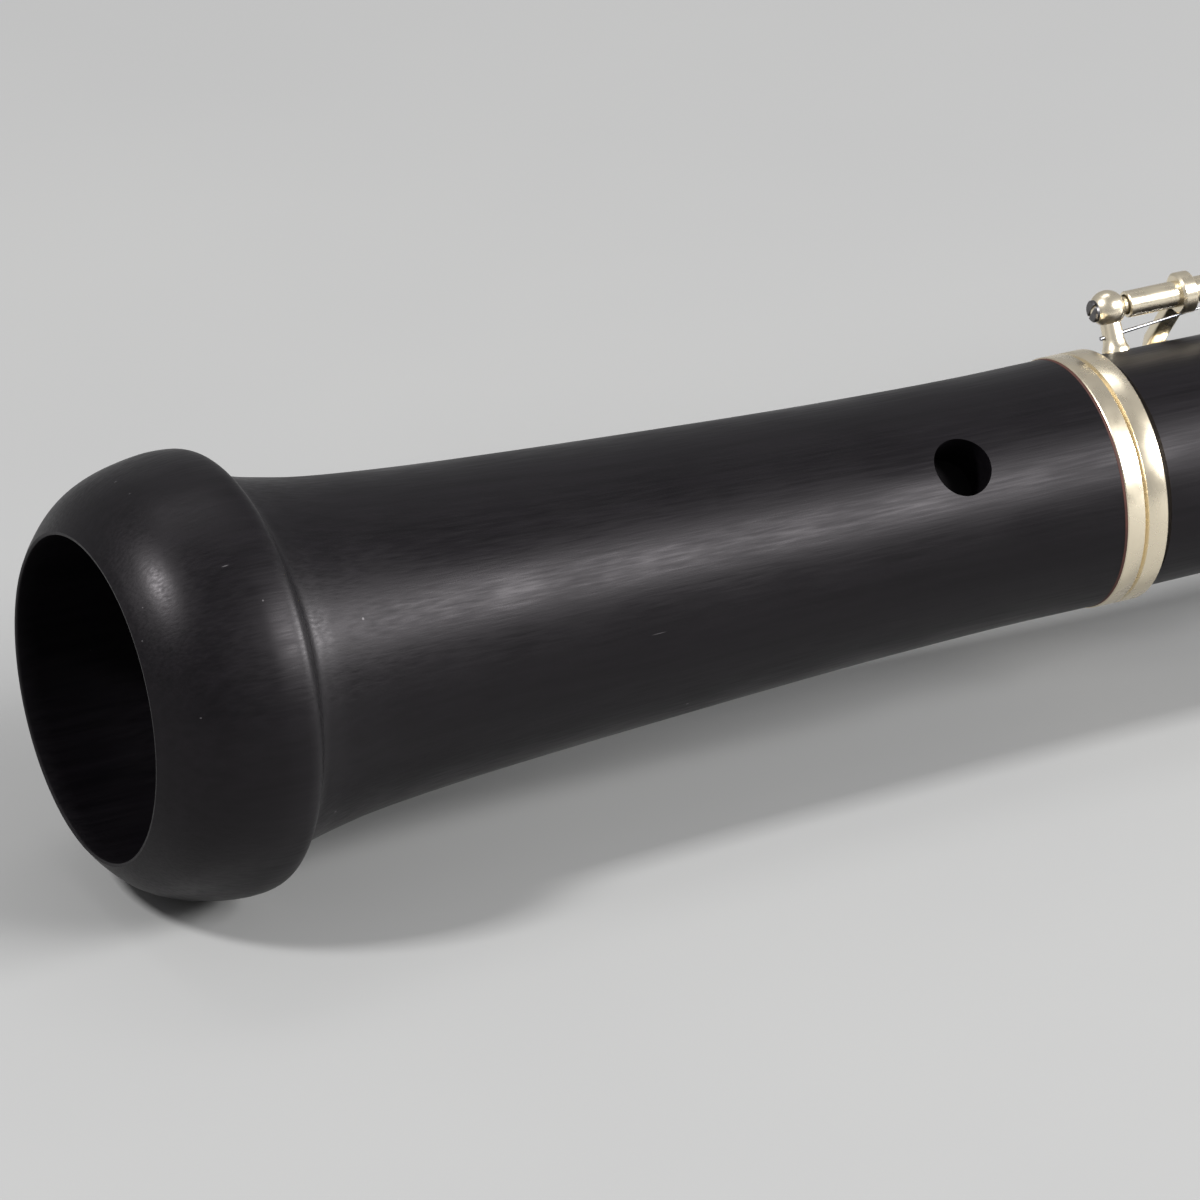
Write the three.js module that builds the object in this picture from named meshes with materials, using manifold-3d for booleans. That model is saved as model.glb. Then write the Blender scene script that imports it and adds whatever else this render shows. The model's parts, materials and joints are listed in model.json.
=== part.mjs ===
// An oboe in three sections with its reed and keywork, lying with its keys up. Millimetres. +X runs up
// the bore from bell to reed, +Z is the front (the finger side), -Y is the player's left. Keys and
// their joints are groups placed on their hinge lines, so turning a group about its hinge plays the
// key.
import * as THREE from "three";
import { mergeVertices } from "three/addons/utils/BufferGeometryUtils.js";
import Module from "manifold-3d";

const wasm = await Module();
wasm.setup();

// ---- Driving dimensions -------------------------------------------------------------------------

// Lengths along the bore.
const BELL_LENGTH = 144.9;
const LOWER_LENGTH = 240;
const UPPER_LENGTH = 225;
const SOCKET_DEPTH = 20;
const TENON_LENGTH = 18.5;
const REED_WELL_DEPTH = 22;

// Radii of the turned wood.
const BELL_RIM_RADIUS = 28.3;
const BELL_MOUTH_RADIUS = 20.65;
const BELL_WAIST_RADIUS = 16.3;
const LIP_WIDTH = 0.6;
const LOWER_FOOT_RADIUS = 15.4;
const LOWER_RADIUS = 13.2;
const LOWER_HEAD_RADIUS = 15.2;
const UPPER_RADIUS = 11.8;
const UPPER_FOOT_RADIUS = 12.8;
const CROWN_RADIUS = 13.4;

// The conical bore.
const BORE_TOP_RADIUS = 2.3;
const BORE_MIDDLE_RADIUS = 4.7;
const BORE_FOOT_RADIUS = 8.2;

// Tenons, their cork and the metal rings.
const BELL_TENON_RADIUS = 11.6;
const MIDDLE_TENON_RADIUS = 8.7;
const CORK_THICKNESS = 0.9;
const CORK_LENGTH = 13;
const FIT_GAP = 0.3;
const BELL_RING_LENGTH = 6.2;
const RING_GROOVE_DEPTH = 0.45;
const SOCKET_RING_LENGTH = 5;
const RING_THICKNESS = 1.5;
const CROWN_RING_LENGTH = 7;

// The open vent in the bell.
const VENT_RADIUS = 3.95;
const VENT_STATION = 117.3;
const VENT_ANGLE = -44.5;

// Rods, hinge tubes and posts.
const ROD_RADIUS = 1.1;
const TUBE_BORE_RADIUS = 1.35;
const TUBE_RADIUS = 1.75;
const COLLAR_RADIUS = 2.6;
const ROD_HEIGHT = 5.6;
const BALL_RADIUS = 2.5;
const POST_BASE_RADIUS = 2.2;
const POST_NECK_RADIUS = 1.35;
const END_PLAY = 0.3;
const POST_GAP = 0.15;

// Pads, cups, plates and arms.
const PAD_THICKNESS = 1.8;
const PAD_LIFT = 1.7;
const SEAT_GAP = 0.15;
const SEAT_RIM_WIDTH = 1.2;
const SEAT_RIM_HEIGHT = 0.9;
const POCKET_MARGIN = 0.7;
const BRIM_CLEARANCE = 0.6;
const CUP_WALL = 0.55;
const CUP_DEPTH = 1.0;
const CUP_ROOF = 0.9;
const GLUE_GAP = 0.12;
const PLATE_OVERHANG = 1.5;
const ARM_WIDTH = 2.8;
const COLLAR_WIDTH = 2.2;
const ARM_THICKNESS = 1.5;
const TOUCH_THICKNESS = 1.3;
const TOUCH_HEIGHT = 5.6;

// The reed.
const REED_TUBE_LENGTH = 46;
const REED_CORK_LENGTH = 27;
const REED_CORK_RADIUS = 3.3;
const REED_WELL_RADIUS = 3.6;
const REED_CANE_LENGTH = 25;
const REED_TIP_WIDTH = 7;
const REED_TIP_THICKNESS = 0.45;
const REED_SLIT = 0.15;
const STAPLE_FOOT_RADIUS = 2.6;
const STAPLE_TOP_RADIUS = 1.6;
const STAPLE_WALL = 0.5;
const CANE_OVERLAP = 14;
const CANE_RADIUS = 2.7;
const THREAD_THICKNESS = 0.45;

// Sides of the round pieces.
const BODY_SIDES = 28;
const RING_SIDES = 24;
const SMALL_SIDES = 8;
const CUP_SIDES = 12;
const BELL_STEPS = 26;

const LOWER_START = BELL_LENGTH;
const UPPER_START = LOWER_START + LOWER_LENGTH;
const CROWN_TOP = UPPER_START + UPPER_LENGTH;
const radians = THREE.MathUtils.degToRad;

// A place on the lower or the upper joint, as a share of that joint's own length.
const onLower = (share) => LOWER_START + share * LOWER_LENGTH;
const onUpper = (share) => UPPER_START + share * UPPER_LENGTH;

// ---- Materials ----------------------------------------------------------------------------------

const paint = (color, roughness, metalness) =>
  new THREE.MeshStandardMaterial({ color, roughness, metalness });
const WOOD = paint("#26242a", 0.45, 0);
const SILVER = paint("#cfcac0", 0.22, 1);
const CORK = paint("#b98b5c", 0.9, 0);
const PAD = paint("#d8cdb6", 0.8, 0);
const CANE = paint("#d9b565", 0.6, 0);
const THREAD = paint("#7d1f25", 0.75, 0);
const BRASS = paint("#c2a24d", 0.3, 1);

// ---- Solids -------------------------------------------------------------------------------------

// A closed three.js geometry as a manifold-3d solid.
function solid(geometry) {
  const bare = new THREE.BufferGeometry();
  bare.setAttribute("position", geometry.getAttribute("position").clone());
  bare.setIndex(geometry.index ? geometry.index.clone() : null);
  const merged = mergeVertices(bare, 1e-4);
  const corners = merged.index.array;
  const triangles = [];
  for (let i = 0; i < corners.length; i += 3) {
    const [a, b, c] = [corners[i], corners[i + 1], corners[i + 2]];
    if (a !== b && b !== c && c !== a) triangles.push(a, b, c);
  }
  return new wasm.Manifold(
    new wasm.Mesh({
      numProp: 3,
      vertProperties: merged.getAttribute("position").array,
      triVerts: new Uint32Array(triangles),
    }),
  );
}

function geometryOf(manifold) {
  const mesh = manifold.getMesh();
  const points = new Float32Array(mesh.numVert * 3);
  for (let i = 0; i < mesh.numVert; i++) {
    points.set(mesh.vertProperties.subarray(i * mesh.numProp, i * mesh.numProp + 3), i * 3);
  }
  const geometry = new THREE.BufferGeometry().setAttribute("position", new THREE.BufferAttribute(points, 3));
  return geometry.setIndex(new THREE.BufferAttribute(mesh.triVerts, 1));
}

const join = (...solids) => solids.reduce((sum, one) => sum.add(one));
const cut = (from, ...tools) => tools.reduce((left, tool) => left.subtract(tool), from);

// A closed outline of [x, radius] points turned about the X axis.
function turned(outline, sides) {
  const area = outline.reduce((sum, [x, r], i) => {
    const [nextX, nextR] = outline[(i + 1) % outline.length];
    return sum + (x * nextR - nextX * r) / 2;
  }, 0);
  const ordered = area < 0 ? outline : [...outline].reverse();
  const closed = [...ordered, ordered[0]].map(([x, r]) => new THREE.Vector2(r, x));
  return solid(new THREE.LatheGeometry(closed, sides).rotateZ(-Math.PI / 2));
}

// The same, turned about the outward line of the radial frame: x along the bore, y outwards, z across.
function turnedOutwards(outline, sides) {
  return turned(outline, sides).rotate([0, 0, 90]);
}

const rodAlongX = (x0, x1, radius, sides = SMALL_SIDES) =>
  turned([[x0, 0], [x0, radius], [x1, radius], [x1, 0]], sides);

// Carries a solid from the radial frame to a place on the instrument, at an angle from the front.
const placed = (piece, x, angle) => piece.rotate([90 - angle, 0, 0]).translate([x, 0, 0]);

// A bar through points of the cross-section plane, [y, z], wide along X.
function strap(from, to, thickness, x, width) {
  const along = new THREE.Vector2(to[0] - from[0], to[1] - from[1]);
  const side = new THREE.Vector2(-along.y, along.x).setLength(thickness / 2);
  const corner = (point, sign) => new THREE.Vector2(point[0] + sign * side.x, point[1] + sign * side.y);
  const shape = new THREE.Shape([corner(from, -1), corner(to, -1), corner(to, 1), corner(from, 1)]);
  const geometry = new THREE.ExtrudeGeometry(shape, { depth: width, bevelEnabled: false });
  const axes = new THREE.Matrix4().makeBasis(
    new THREE.Vector3(0, 1, 0),
    new THREE.Vector3(0, 0, 1),
    new THREE.Vector3(1, 0, 0),
  );
  return solid(geometry.applyMatrix4(axes).translate(x - width / 2, 0, 0));
}

// A flat plate with round ends, in the radial frame: length along x, width across, from bottom upwards.
function touchPlate(length, width, bottom, thickness) {
  const shape = new THREE.Shape();
  shape.absellipse(0, 0, length / 2, width / 2, 0, 2 * Math.PI);
  const sheet = { depth: thickness, bevelEnabled: false, curveSegments: 7 };
  const geometry = new THREE.ExtrudeGeometry(shape, sheet);
  return solid(geometry.rotateX(-Math.PI / 2).translate(0, bottom, 0));
}

const boxSolid = (sizeX, sizeY, sizeZ, x, y, z) =>
  solid(new THREE.BoxGeometry(sizeX, sizeY, sizeZ).translate(x, y, z));

// ---- The instrument and its sections ------------------------------------------------------------

const oboe = new THREE.Group();
const lowerJoint = new THREE.Group();
const bell = new THREE.Group();
const upperJoint = new THREE.Group();
const reed = new THREE.Group();
oboe.add(lowerJoint, bell, upperJoint);
upperJoint.add(reed);

function addMesh(parent, name, piece, material) {
  const mesh = new THREE.Mesh(geometryOf(piece), material);
  mesh.name = name;
  parent.add(mesh);
  return mesh;
}

// The outside of each joint, as [x, radius] from foot to head.
const LOWER_OUTSIDE = [
  [LOWER_START, LOWER_FOOT_RADIUS],
  [onLower(0.08), LOWER_FOOT_RADIUS - 0.3],
  [onLower(0.25), LOWER_RADIUS + 0.5],
  [onLower(0.4), LOWER_RADIUS],
  [onLower(0.88), LOWER_RADIUS],
  [onLower(0.93), LOWER_HEAD_RADIUS - 0.5],
  [UPPER_START - SOCKET_RING_LENGTH, LOWER_HEAD_RADIUS],
];
const UPPER_OUTSIDE = [
  [UPPER_START + FIT_GAP, UPPER_FOOT_RADIUS],
  [onUpper(0.08), UPPER_FOOT_RADIUS - 0.4],
  [onUpper(0.16), UPPER_RADIUS],
  [onUpper(0.86), UPPER_RADIUS],
  [onUpper(0.93), UPPER_RADIUS + 0.5],
  [CROWN_TOP - CROWN_RING_LENGTH, CROWN_RADIUS - 0.5],
];

function radiusAt(outside, x) {
  const next = outside.findIndex(([station]) => station >= x);
  if (next < 1) return outside.at(next < 0 ? -1 : 0)[1];
  const [[x0, r0], [x1, r1]] = [outside[next - 1], outside[next]];
  return r0 + ((r1 - r0) * (x - x0)) / (x1 - x0);
}

// ---- Tone holes ---------------------------------------------------------------------------------

// A tone hole: the joint that it is drilled in, its place, its bore, its pad, and how far a finger
// plate overhangs its cup.
function toneHole(outside, x, angle, bore, pad, plate = 0) {
  const cupRadius = pad + GLUE_GAP + CUP_WALL;
  const pocket = cupRadius + POCKET_MARGIN;
  const smallest = Math.min(...[x - pocket, x, x + pocket].map((at) => radiusAt(outside, at)));
  const seat = Math.sqrt(smallest ** 2 - pocket ** 2) - 0.05;
  const ceiling = seat + SEAT_GAP + PAD_THICKNESS + GLUE_GAP;
  return { x, angle, bore, pad, plate, cupRadius, pocket, seat, ceiling, roof: ceiling + CUP_ROOF };
}

// What a tone hole removes: the bore, a flat pocket round a raised seat, and any wood in the way of
// the plate's brim.
function toneHoleCutters(hole) {
  const far = hole.seat + 2 * hole.pocket;
  const floor = hole.seat - SEAT_RIM_HEIGHT;
  const ledge = hole.ceiling - BRIM_CLEARANCE;
  const wide = hole.pocket + hole.plate;
  const pocket = turnedOutwards(
    [[floor, 0], [floor, hole.pocket], [ledge, hole.pocket], [ledge, wide], [far, wide], [far, 0]],
    CUP_SIDES,
  );
  const seatEdge = hole.bore + SEAT_RIM_WIDTH;
  const rim = turnedOutwards(
    [[floor - 1, 0], [floor - 1, seatEdge], [hole.seat, seatEdge], [hole.seat, 0]],
    CUP_SIDES,
  );
  const drill = turnedOutwards([[0, 0], [0, hole.bore], [far, hole.bore], [far, 0]], SMALL_SIDES);
  return [cut(pocket, rim), drill].map((tool) => placed(tool, hole.x, hole.angle));
}

// ---- Rods and posts -----------------------------------------------------------------------------

// A post in the radial frame: a foot on the wood, a neck, and a ball that holds the rod.
function post(foot, rodRadius) {
  const ball = [-60, -20, 20, 60].map((degrees) => [
    rodRadius + BALL_RADIUS * Math.sin(radians(degrees)),
    BALL_RADIUS * Math.cos(radians(degrees)),
  ]);
  const outline = [
    [foot, 0],
    [foot, POST_BASE_RADIUS],
    [foot + 0.7, POST_BASE_RADIUS],
    [foot + 1.3, POST_NECK_RADIUS],
    ...ball,
    [rodRadius + BALL_RADIUS, 0],
  ];
  return turnedOutwards(outline, SMALL_SIDES);
}

// A steel rod held by its posts, at an angle from the front. Splits are where one key's tube ends and
// the next begins.
function hingeRod(parent, name, outside, angle, posts, splits = []) {
  const highest = Math.max(...posts.map((x) => radiusAt(outside, x)));
  const radius = highest + ROD_HEIGHT;
  const centre = [radius * Math.sin(radians(angle)), radius * Math.cos(radians(angle))];
  const rod = rodAlongX(posts[0], posts.at(-1), ROD_RADIUS).translate([0, ...centre]);
  const stands = posts.map((x) => placed(post(radiusAt(outside, x) + POST_GAP, radius), x, angle));
  addMesh(parent, name, join(rod, ...stands), SILVER);
  return { angle, radius, centre, posts, splits };
}

// The length of hinge tube that is free round a place on a rod, between the nearest posts or splits.
function tubeSpan(rod, x) {
  const stops = [
    ...rod.posts.map((at) => ({ at, half: BALL_RADIUS + END_PLAY })),
    ...rod.splits.map((at) => ({ at, half: END_PLAY / 2 })),
  ].sort((a, b) => a.at - b.at);
  const after = stops.findIndex((stop) => stop.at > x);
  return [stops[after - 1].at + stops[after - 1].half, stops[after].at - stops[after].half];
}

// ---- Keys ---------------------------------------------------------------------------------------

// A pad cup in the radial frame, its pad resting on the seat. A finger plate is a cup with a wider
// round roof.
function padCup(hole) {
  const { ceiling, roof, cupRadius, plate } = hole;
  const rim = ceiling - GLUE_GAP - CUP_DEPTH;
  const inside = cupRadius - CUP_WALL;
  const brim = cupRadius + plate;
  const sheet = [[ceiling, brim], [roof - 0.2, brim]];
  const side = [[rim, inside], [rim, cupRadius], [ceiling, cupRadius], ...(plate > 0 ? sheet : [])];
  return turnedOutwards(
    [[ceiling, 0], [ceiling, inside], ...side, [roof, 0.6 * brim], [roof, 0]],
    CUP_SIDES,
  );
}

function padDisc(hole) {
  const bottom = hole.seat + SEAT_GAP;
  const edge = hole.pad;
  const top = bottom + PAD_THICKNESS;
  return turnedOutwards([[bottom, 0], [bottom, edge], [top, edge], [top, 0]], CUP_SIDES);
}

const onCircle = (radius, angle) => [radius * Math.sin(radians(angle)), radius * Math.cos(radians(angle))];

// Puts solids, made where the closed key stands, on a group that turns about the key's rod.
function hingedGroup(parent, rod, span, lifted) {
  const group = new THREE.Group();
  group.position.set((span[0] + span[1]) / 2, ...rod.centre);
  group.rotation.x = radians(lifted);
  parent.add(group);
  return group;
}

function addToHinge(group, name, piece, material) {
  const { x, y, z } = group.position;
  return addMesh(group, name, piece.translate([-x, -y, -z]), material);
}

function hingeTube(rod, [x0, x1]) {
  const wall = [[x0, TUBE_BORE_RADIUS], [x0, TUBE_RADIUS], [x1, TUBE_RADIUS], [x1, TUBE_BORE_RADIUS]];
  return turned(wall, SMALL_SIDES).translate([0, ...rod.centre]);
}

// A point of the cross-section, [y, z], given across and outwards from a place at an angle from the
// front.
const inFrame = (angle, across, height) => [
  height * Math.sin(radians(angle)) + across * Math.cos(radians(angle)),
  height * Math.cos(radians(angle)) - across * Math.sin(radians(angle)),
];

// The cup of one tone hole with the arm that carries it from the rod. The arm meets a finger plate at
// its edge; it bends over the brim of a plain cup and runs to the middle of its roof.
function cupOnArm(rod, hole) {
  const side = Math.sign(rod.angle - hole.angle);
  const bar = (from, to) => strap(from, to, ARM_THICKNESS, hole.x, ARM_WIDTH);
  const over = hole.roof + 0.1;
  const edge = inFrame(hole.angle, side * (hole.cupRadius + 0.2), hole.roof - CUP_ROOF / 2);
  const bend = inFrame(hole.angle, side * (hole.cupRadius + 0.3), over);
  const middle = inFrame(hole.angle, 0, over);
  const arm = hole.plate > 0 ? bar(rod.centre, edge) : join(bar(rod.centre, bend), bar(bend, middle));
  const disc = rodAlongX(hole.x - COLLAR_WIDTH / 2, hole.x + COLLAR_WIDTH / 2, COLLAR_RADIUS);
  const collar = disc.translate([0, ...rod.centre]);
  return join(collar, arm, placed(padCup(hole), hole.x, hole.angle));
}

// A finger touch: its plate lies at an angle from the front and a height above the wood there.
function touchOnArm(rod, outside, x, angle, height, length, width) {
  const radius = radiusAt(outside, x) + height;
  const arm = strap(rod.centre, onCircle(radius, angle), TOUCH_THICKNESS, x, ARM_WIDTH);
  const plate = touchPlate(length, width, radius - TOUCH_THICKNESS / 2, TOUCH_THICKNESS);
  return join(arm, placed(plate, x, angle));
}

// A key on a rod. press is the sense, about +X, in which the finger turns it. An open key stands
// lifted at rest.
function rodKey(parent, name, rod, { hole, open = false, press = 1, extras = [], at, travel }) {
  const span = tubeSpan(rod, at ?? hole.x);
  const lift = travel ?? liftAngle(rod, hole);
  const group = hingedGroup(parent, rod, span, open ? -press * lift : 0);
  const cup = hole ? [cupOnArm(rod, hole)] : [];
  const whole = cut(
    join(hingeTube(rod, span), ...cup, ...extras),
    rodAlongX(span[0] - 1, span[1] + 1, TUBE_BORE_RADIUS).translate([0, ...rod.centre]),
  );
  addToHinge(group, name + "_key", whole, SILVER);
  if (hole) addToHinge(group, name + "_pad", placed(padDisc(hole), hole.x, hole.angle), PAD);
  group.userData.joint = { name, travel: lift, press };
  return group;
}

// The turn that lifts a pad's centre off its seat by the pad lift.
function liftAngle(rod, hole) {
  const centre = onCircle(hole.seat, hole.angle);
  const away = [centre[0] - rod.centre[0], centre[1] - rod.centre[1]];
  const outwards = onCircle(1, hole.angle);
  const arm = Math.abs(away[0] * outwards[1] - away[1] * outwards[0]);
  return THREE.MathUtils.radToDeg(PAD_LIFT / arm);
}

// ---- Levers that rock across the bore -----------------------------------------------------------

const SADDLE_HEIGHT = 5;
const EAR_THICKNESS = 0.9;
const EAR_SPREAD = 2.9;
const PIVOT_TUBE_RADIUS = 1.6;
const PIN_RADIUS = 0.8;
const LEVER_WIDTH = 3;

// A rocking lever held in a saddle: a touch at one end, and a sprung-shut pad at the other.
function rockingKey(parent, name, outside, hole, pivotX, touchX, touchAngle) {
  const pivotRadius = Math.max(radiusAt(outside, pivotX), radiusAt(outside, hole.x)) + SADDLE_HEIGHT;
  const frame = new THREE.Group();
  frame.position.set(pivotX, ...onCircle(pivotRadius, hole.angle));
  frame.rotation.x = Math.PI / 2 - radians(hole.angle);
  parent.add(frame);

  const foot = radiusAt(outside, pivotX) + POST_GAP - pivotRadius;
  const across = (x, radius, half) =>
    rodAlongX(-half, half, radius).rotate([0, 90, 0]).translate([x, 0, 0]);
  const ear = (side) =>
    boxSolid(3, -foot + 1.3, EAR_THICKNESS, 0, (foot + 1.3) / 2, side * (EAR_SPREAD - EAR_THICKNESS / 2));
  const base = boxSolid(4, 0.8, 2 * EAR_SPREAD, 0, foot + 0.4, 0);
  addMesh(frame, name + "_saddle", join(base, ear(-1), ear(1), across(0, PIN_RADIUS, EAR_SPREAD)), SILVER);

  const side = Math.sign(touchX - pivotX);
  const padX = hole.x - pivotX;
  const reach = touchX - pivotX;
  const roof = hole.roof - pivotRadius;
  const outline = new THREE.Shape([
    new THREE.Vector2(padX - side * 2, roof - 0.3),
    new THREE.Vector2(padX + side * 2, roof - 0.3),
    new THREE.Vector2(-side * 2.5, -0.9),
    new THREE.Vector2(side * 2.5, -0.9),
    new THREE.Vector2(reach, 0.9),
    new THREE.Vector2(reach, 2.1),
    new THREE.Vector2(0, 1.3),
    new THREE.Vector2(padX - side * 2, roof + 0.9),
  ]);
  const strip = new THREE.ExtrudeGeometry(outline, { depth: LEVER_WIDTH, bevelEnabled: false });
  const bar = solid(strip.translate(0, 0, -LEVER_WIDTH / 2));
  const lean = touchAngle - hole.angle;
  const swing = radians(lean) * pivotRadius;
  const wing = boxSolid(ARM_WIDTH, 1.2, Math.abs(swing) + 1, reach, 1.5, -swing / 2);
  const plate = touchPlate(13, 8, 0.9, TOUCH_THICKNESS).translate([reach, 0, -swing]);
  const cup = padCup(hole).translate([padX, -pivotRadius, 0]);
  const half = EAR_SPREAD - EAR_THICKNESS - END_PLAY;
  const metal = join(bar, wing, plate, cup, across(0, PIVOT_TUBE_RADIUS, half));
  const lever = cut(metal, across(0, PIN_RADIUS + 0.25, half + 1));
  const group = new THREE.Group();
  frame.add(group);
  addMesh(group, name + "_key", lever, SILVER);
  addMesh(group, name + "_pad", padDisc(hole).translate([padX, -pivotRadius, 0]), PAD);
  group.userData.joint = { name, travel: THREE.MathUtils.radToDeg(PAD_LIFT / Math.abs(padX)), press: -side };
  return group;
}

// ---- Tone holes of the lower joint --------------------------------------------------------------

const lowBFlatHole = toneHole(LOWER_OUTSIDE, onLower(0.068), 80, 4.2, 5.6);
const lowBHole = toneHole(LOWER_OUTSIDE, onLower(0.235), -104, 4.0, 5.4);
const lowCHole = toneHole(LOWER_OUTSIDE, onLower(0.41), 78, 3.8, 5.2);
const eFlatHole = toneHole(LOWER_OUTSIDE, onLower(0.395), 0, 3.2, 4.4);
const dHole = toneHole(LOWER_OUTSIDE, onLower(0.66), 0, 3.2, 4.8, PLATE_OVERHANG);
const eHole = toneHole(LOWER_OUTSIDE, onLower(0.775), 0, 3.0, 4.6, PLATE_OVERHANG);
const fSharpHole = toneHole(LOWER_OUTSIDE, onLower(0.885), 0, 2.8, 4.4, PLATE_OVERHANG);
const lowerHoles = [lowBFlatHole, lowBHole, lowCHole, eFlatHole, dHole, eHole, fSharpHole];

// ---- Tone holes of the upper joint --------------------------------------------------------------

const gHole = toneHole(UPPER_OUTSIDE, onUpper(0.185), 0, 2.6, 4.2, PLATE_OVERHANG);
const gSharpHole = toneHole(UPPER_OUTSIDE, onUpper(0.265), -22, 2.0, 3.2);
const aHole = toneHole(UPPER_OUTSIDE, onUpper(0.345), 0, 2.4, 4.0, PLATE_OVERHANG);
const halfHole = toneHole(UPPER_OUTSIDE, onUpper(0.57), 0, 2.0, 3.8, PLATE_OVERHANG);
const trillHole = toneHole(UPPER_OUTSIDE, onUpper(0.7), 118, 1.8, 3.0);
const thumbOctaveHole = toneHole(UPPER_OUTSIDE, onUpper(0.775), 180, 0.8, 2.4);
const sideOctaveHole = toneHole(UPPER_OUTSIDE, onUpper(0.81), -92, 0.8, 2.4);
const upperHoles = [gHole, gSharpHole, aHole, halfHole, trillHole, thumbOctaveHole, sideOctaveHole];

// ---- Bell ---------------------------------------------------------------------------------------

// The outside of the bell, from the lip of its mouth over the rounded rim, then in to the waist and up
// to the ring.
function bellOutside() {
  const rim = BELL_RIM_RADIUS;
  const waist = BELL_WAIST_RADIUS;
  const ring = BELL_LENGTH - BELL_RING_LENGTH;
  const curve = new THREE.SplineCurve(
    [
      [0, BELL_MOUTH_RADIUS + LIP_WIDTH],
      [3, rim - 3.9],
      [7, rim - 1.6],
      [11, rim - 0.5],
      [15, rim],
      [17.3, rim - 0.1],
      [19.5, rim - 0.9],
      [22, rim - 2.75],
      [24.5, rim - 4.4],
      [28, rim - 5.75],
      [34, waist + 5.15],
      [42, waist + 4.3],
      [58, waist + 3.1],
      [82, waist + 1.7],
      [108, waist + 0.45],
      [ring, waist],
    ].map(([x, r]) => new THREE.Vector2(x, r)),
  );
  return curve.getPoints(BELL_STEPS).map((point) => [point.x, point.y]);
}

const bellSocketFloor = BELL_LENGTH - SOCKET_DEPTH;
const bellSocketRadius = BELL_TENON_RADIUS + CORK_THICKNESS + FIT_GAP;
const bellRingSeat = BELL_WAIST_RADIUS - RING_THICKNESS;
const bellOutline = [
  ...bellOutside(),
  [BELL_LENGTH - BELL_RING_LENGTH, bellRingSeat - FIT_GAP],
  [BELL_LENGTH, bellRingSeat - FIT_GAP],
  [BELL_LENGTH, bellSocketRadius],
  [bellSocketFloor, bellSocketRadius],
  [bellSocketFloor, BORE_FOOT_RADIUS + 0.4],
  [0.6 * bellSocketFloor, BORE_FOOT_RADIUS + 3.4],
  [0.3 * bellSocketFloor, BORE_FOOT_RADIUS + 8],
  [0.1 * bellSocketFloor, BELL_MOUTH_RADIUS + 0.6],
  [2, BELL_MOUTH_RADIUS + 0.8],
  [0, BELL_MOUTH_RADIUS],
];
const ventDrill = placed(
  turnedOutwards([[0, 0], [0, VENT_RADIUS], [40, VENT_RADIUS], [40, 0]], CUP_SIDES),
  VENT_STATION,
  VENT_ANGLE,
);
addMesh(bell, "bell_body", cut(turned(bellOutline, BODY_SIDES), ventDrill), WOOD);

// The bell's socket ring: two bands with a groove between them.
const ringStart = BELL_LENGTH - BELL_RING_LENGTH + FIT_GAP;
const ringMiddle = (ringStart + BELL_LENGTH) / 2;
const bellRing = [
  [ringStart, bellRingSeat],
  [ringStart, BELL_WAIST_RADIUS],
  [ringMiddle - 0.5, BELL_WAIST_RADIUS + 0.1],
  [ringMiddle, BELL_WAIST_RADIUS - RING_GROOVE_DEPTH],
  [ringMiddle + 0.5, BELL_WAIST_RADIUS + 0.1],
  [BELL_LENGTH, BELL_WAIST_RADIUS],
  [BELL_LENGTH, bellRingSeat],
];
addMesh(bell, "bell_socket_ring", turned(bellRing, RING_SIDES), SILVER);

// ---- Lower joint --------------------------------------------------------------------------------

// A tenon with a channel turned in it for the cork.
function tenonOutline(end, shoulder, radius, boreRadius) {
  const corkStart = end + (TENON_LENGTH - CORK_LENGTH) / 2;
  const channel = radius - CORK_THICKNESS;
  return [
    [shoulder, radius],
    [corkStart + CORK_LENGTH + FIT_GAP, radius],
    [corkStart + CORK_LENGTH + FIT_GAP, channel],
    [corkStart - FIT_GAP, channel],
    [corkStart - FIT_GAP, radius],
    [end, radius],
    [end, boreRadius],
  ];
}

function tenonCork(end, radius) {
  const start = end + (TENON_LENGTH - CORK_LENGTH) / 2;
  const inside = radius - CORK_THICKNESS + FIT_GAP;
  const outside = radius + CORK_THICKNESS;
  return turned(
    [[start, inside], [start, outside], [start + CORK_LENGTH, outside], [start + CORK_LENGTH, inside]],
    BODY_SIDES,
  );
}

const lowerShoulder = LOWER_START + FIT_GAP;
const lowerTenonEnd = lowerShoulder - TENON_LENGTH;
const middleSocketRadius = MIDDLE_TENON_RADIUS + CORK_THICKNESS + FIT_GAP;
const lowerRingSeat = LOWER_HEAD_RADIUS - RING_THICKNESS;
const lowerOutline = [
  [lowerShoulder, LOWER_FOOT_RADIUS],
  ...LOWER_OUTSIDE.slice(1),
  [UPPER_START - SOCKET_RING_LENGTH, lowerRingSeat - FIT_GAP],
  [UPPER_START, lowerRingSeat - FIT_GAP],
  [UPPER_START, middleSocketRadius],
  [UPPER_START - SOCKET_DEPTH, middleSocketRadius],
  [UPPER_START - SOCKET_DEPTH, BORE_MIDDLE_RADIUS],
  [lowerTenonEnd, BORE_FOOT_RADIUS],
  ...tenonOutline(lowerTenonEnd, lowerShoulder, BELL_TENON_RADIUS, BORE_FOOT_RADIUS).slice(0, -1).reverse(),
];
addMesh(
  lowerJoint,
  "lower_joint_body",
  cut(turned(lowerOutline, BODY_SIDES), ...lowerHoles.flatMap(toneHoleCutters)),
  WOOD,
);
addMesh(lowerJoint, "lower_tenon_cork", tenonCork(lowerTenonEnd, BELL_TENON_RADIUS), CORK);

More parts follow.
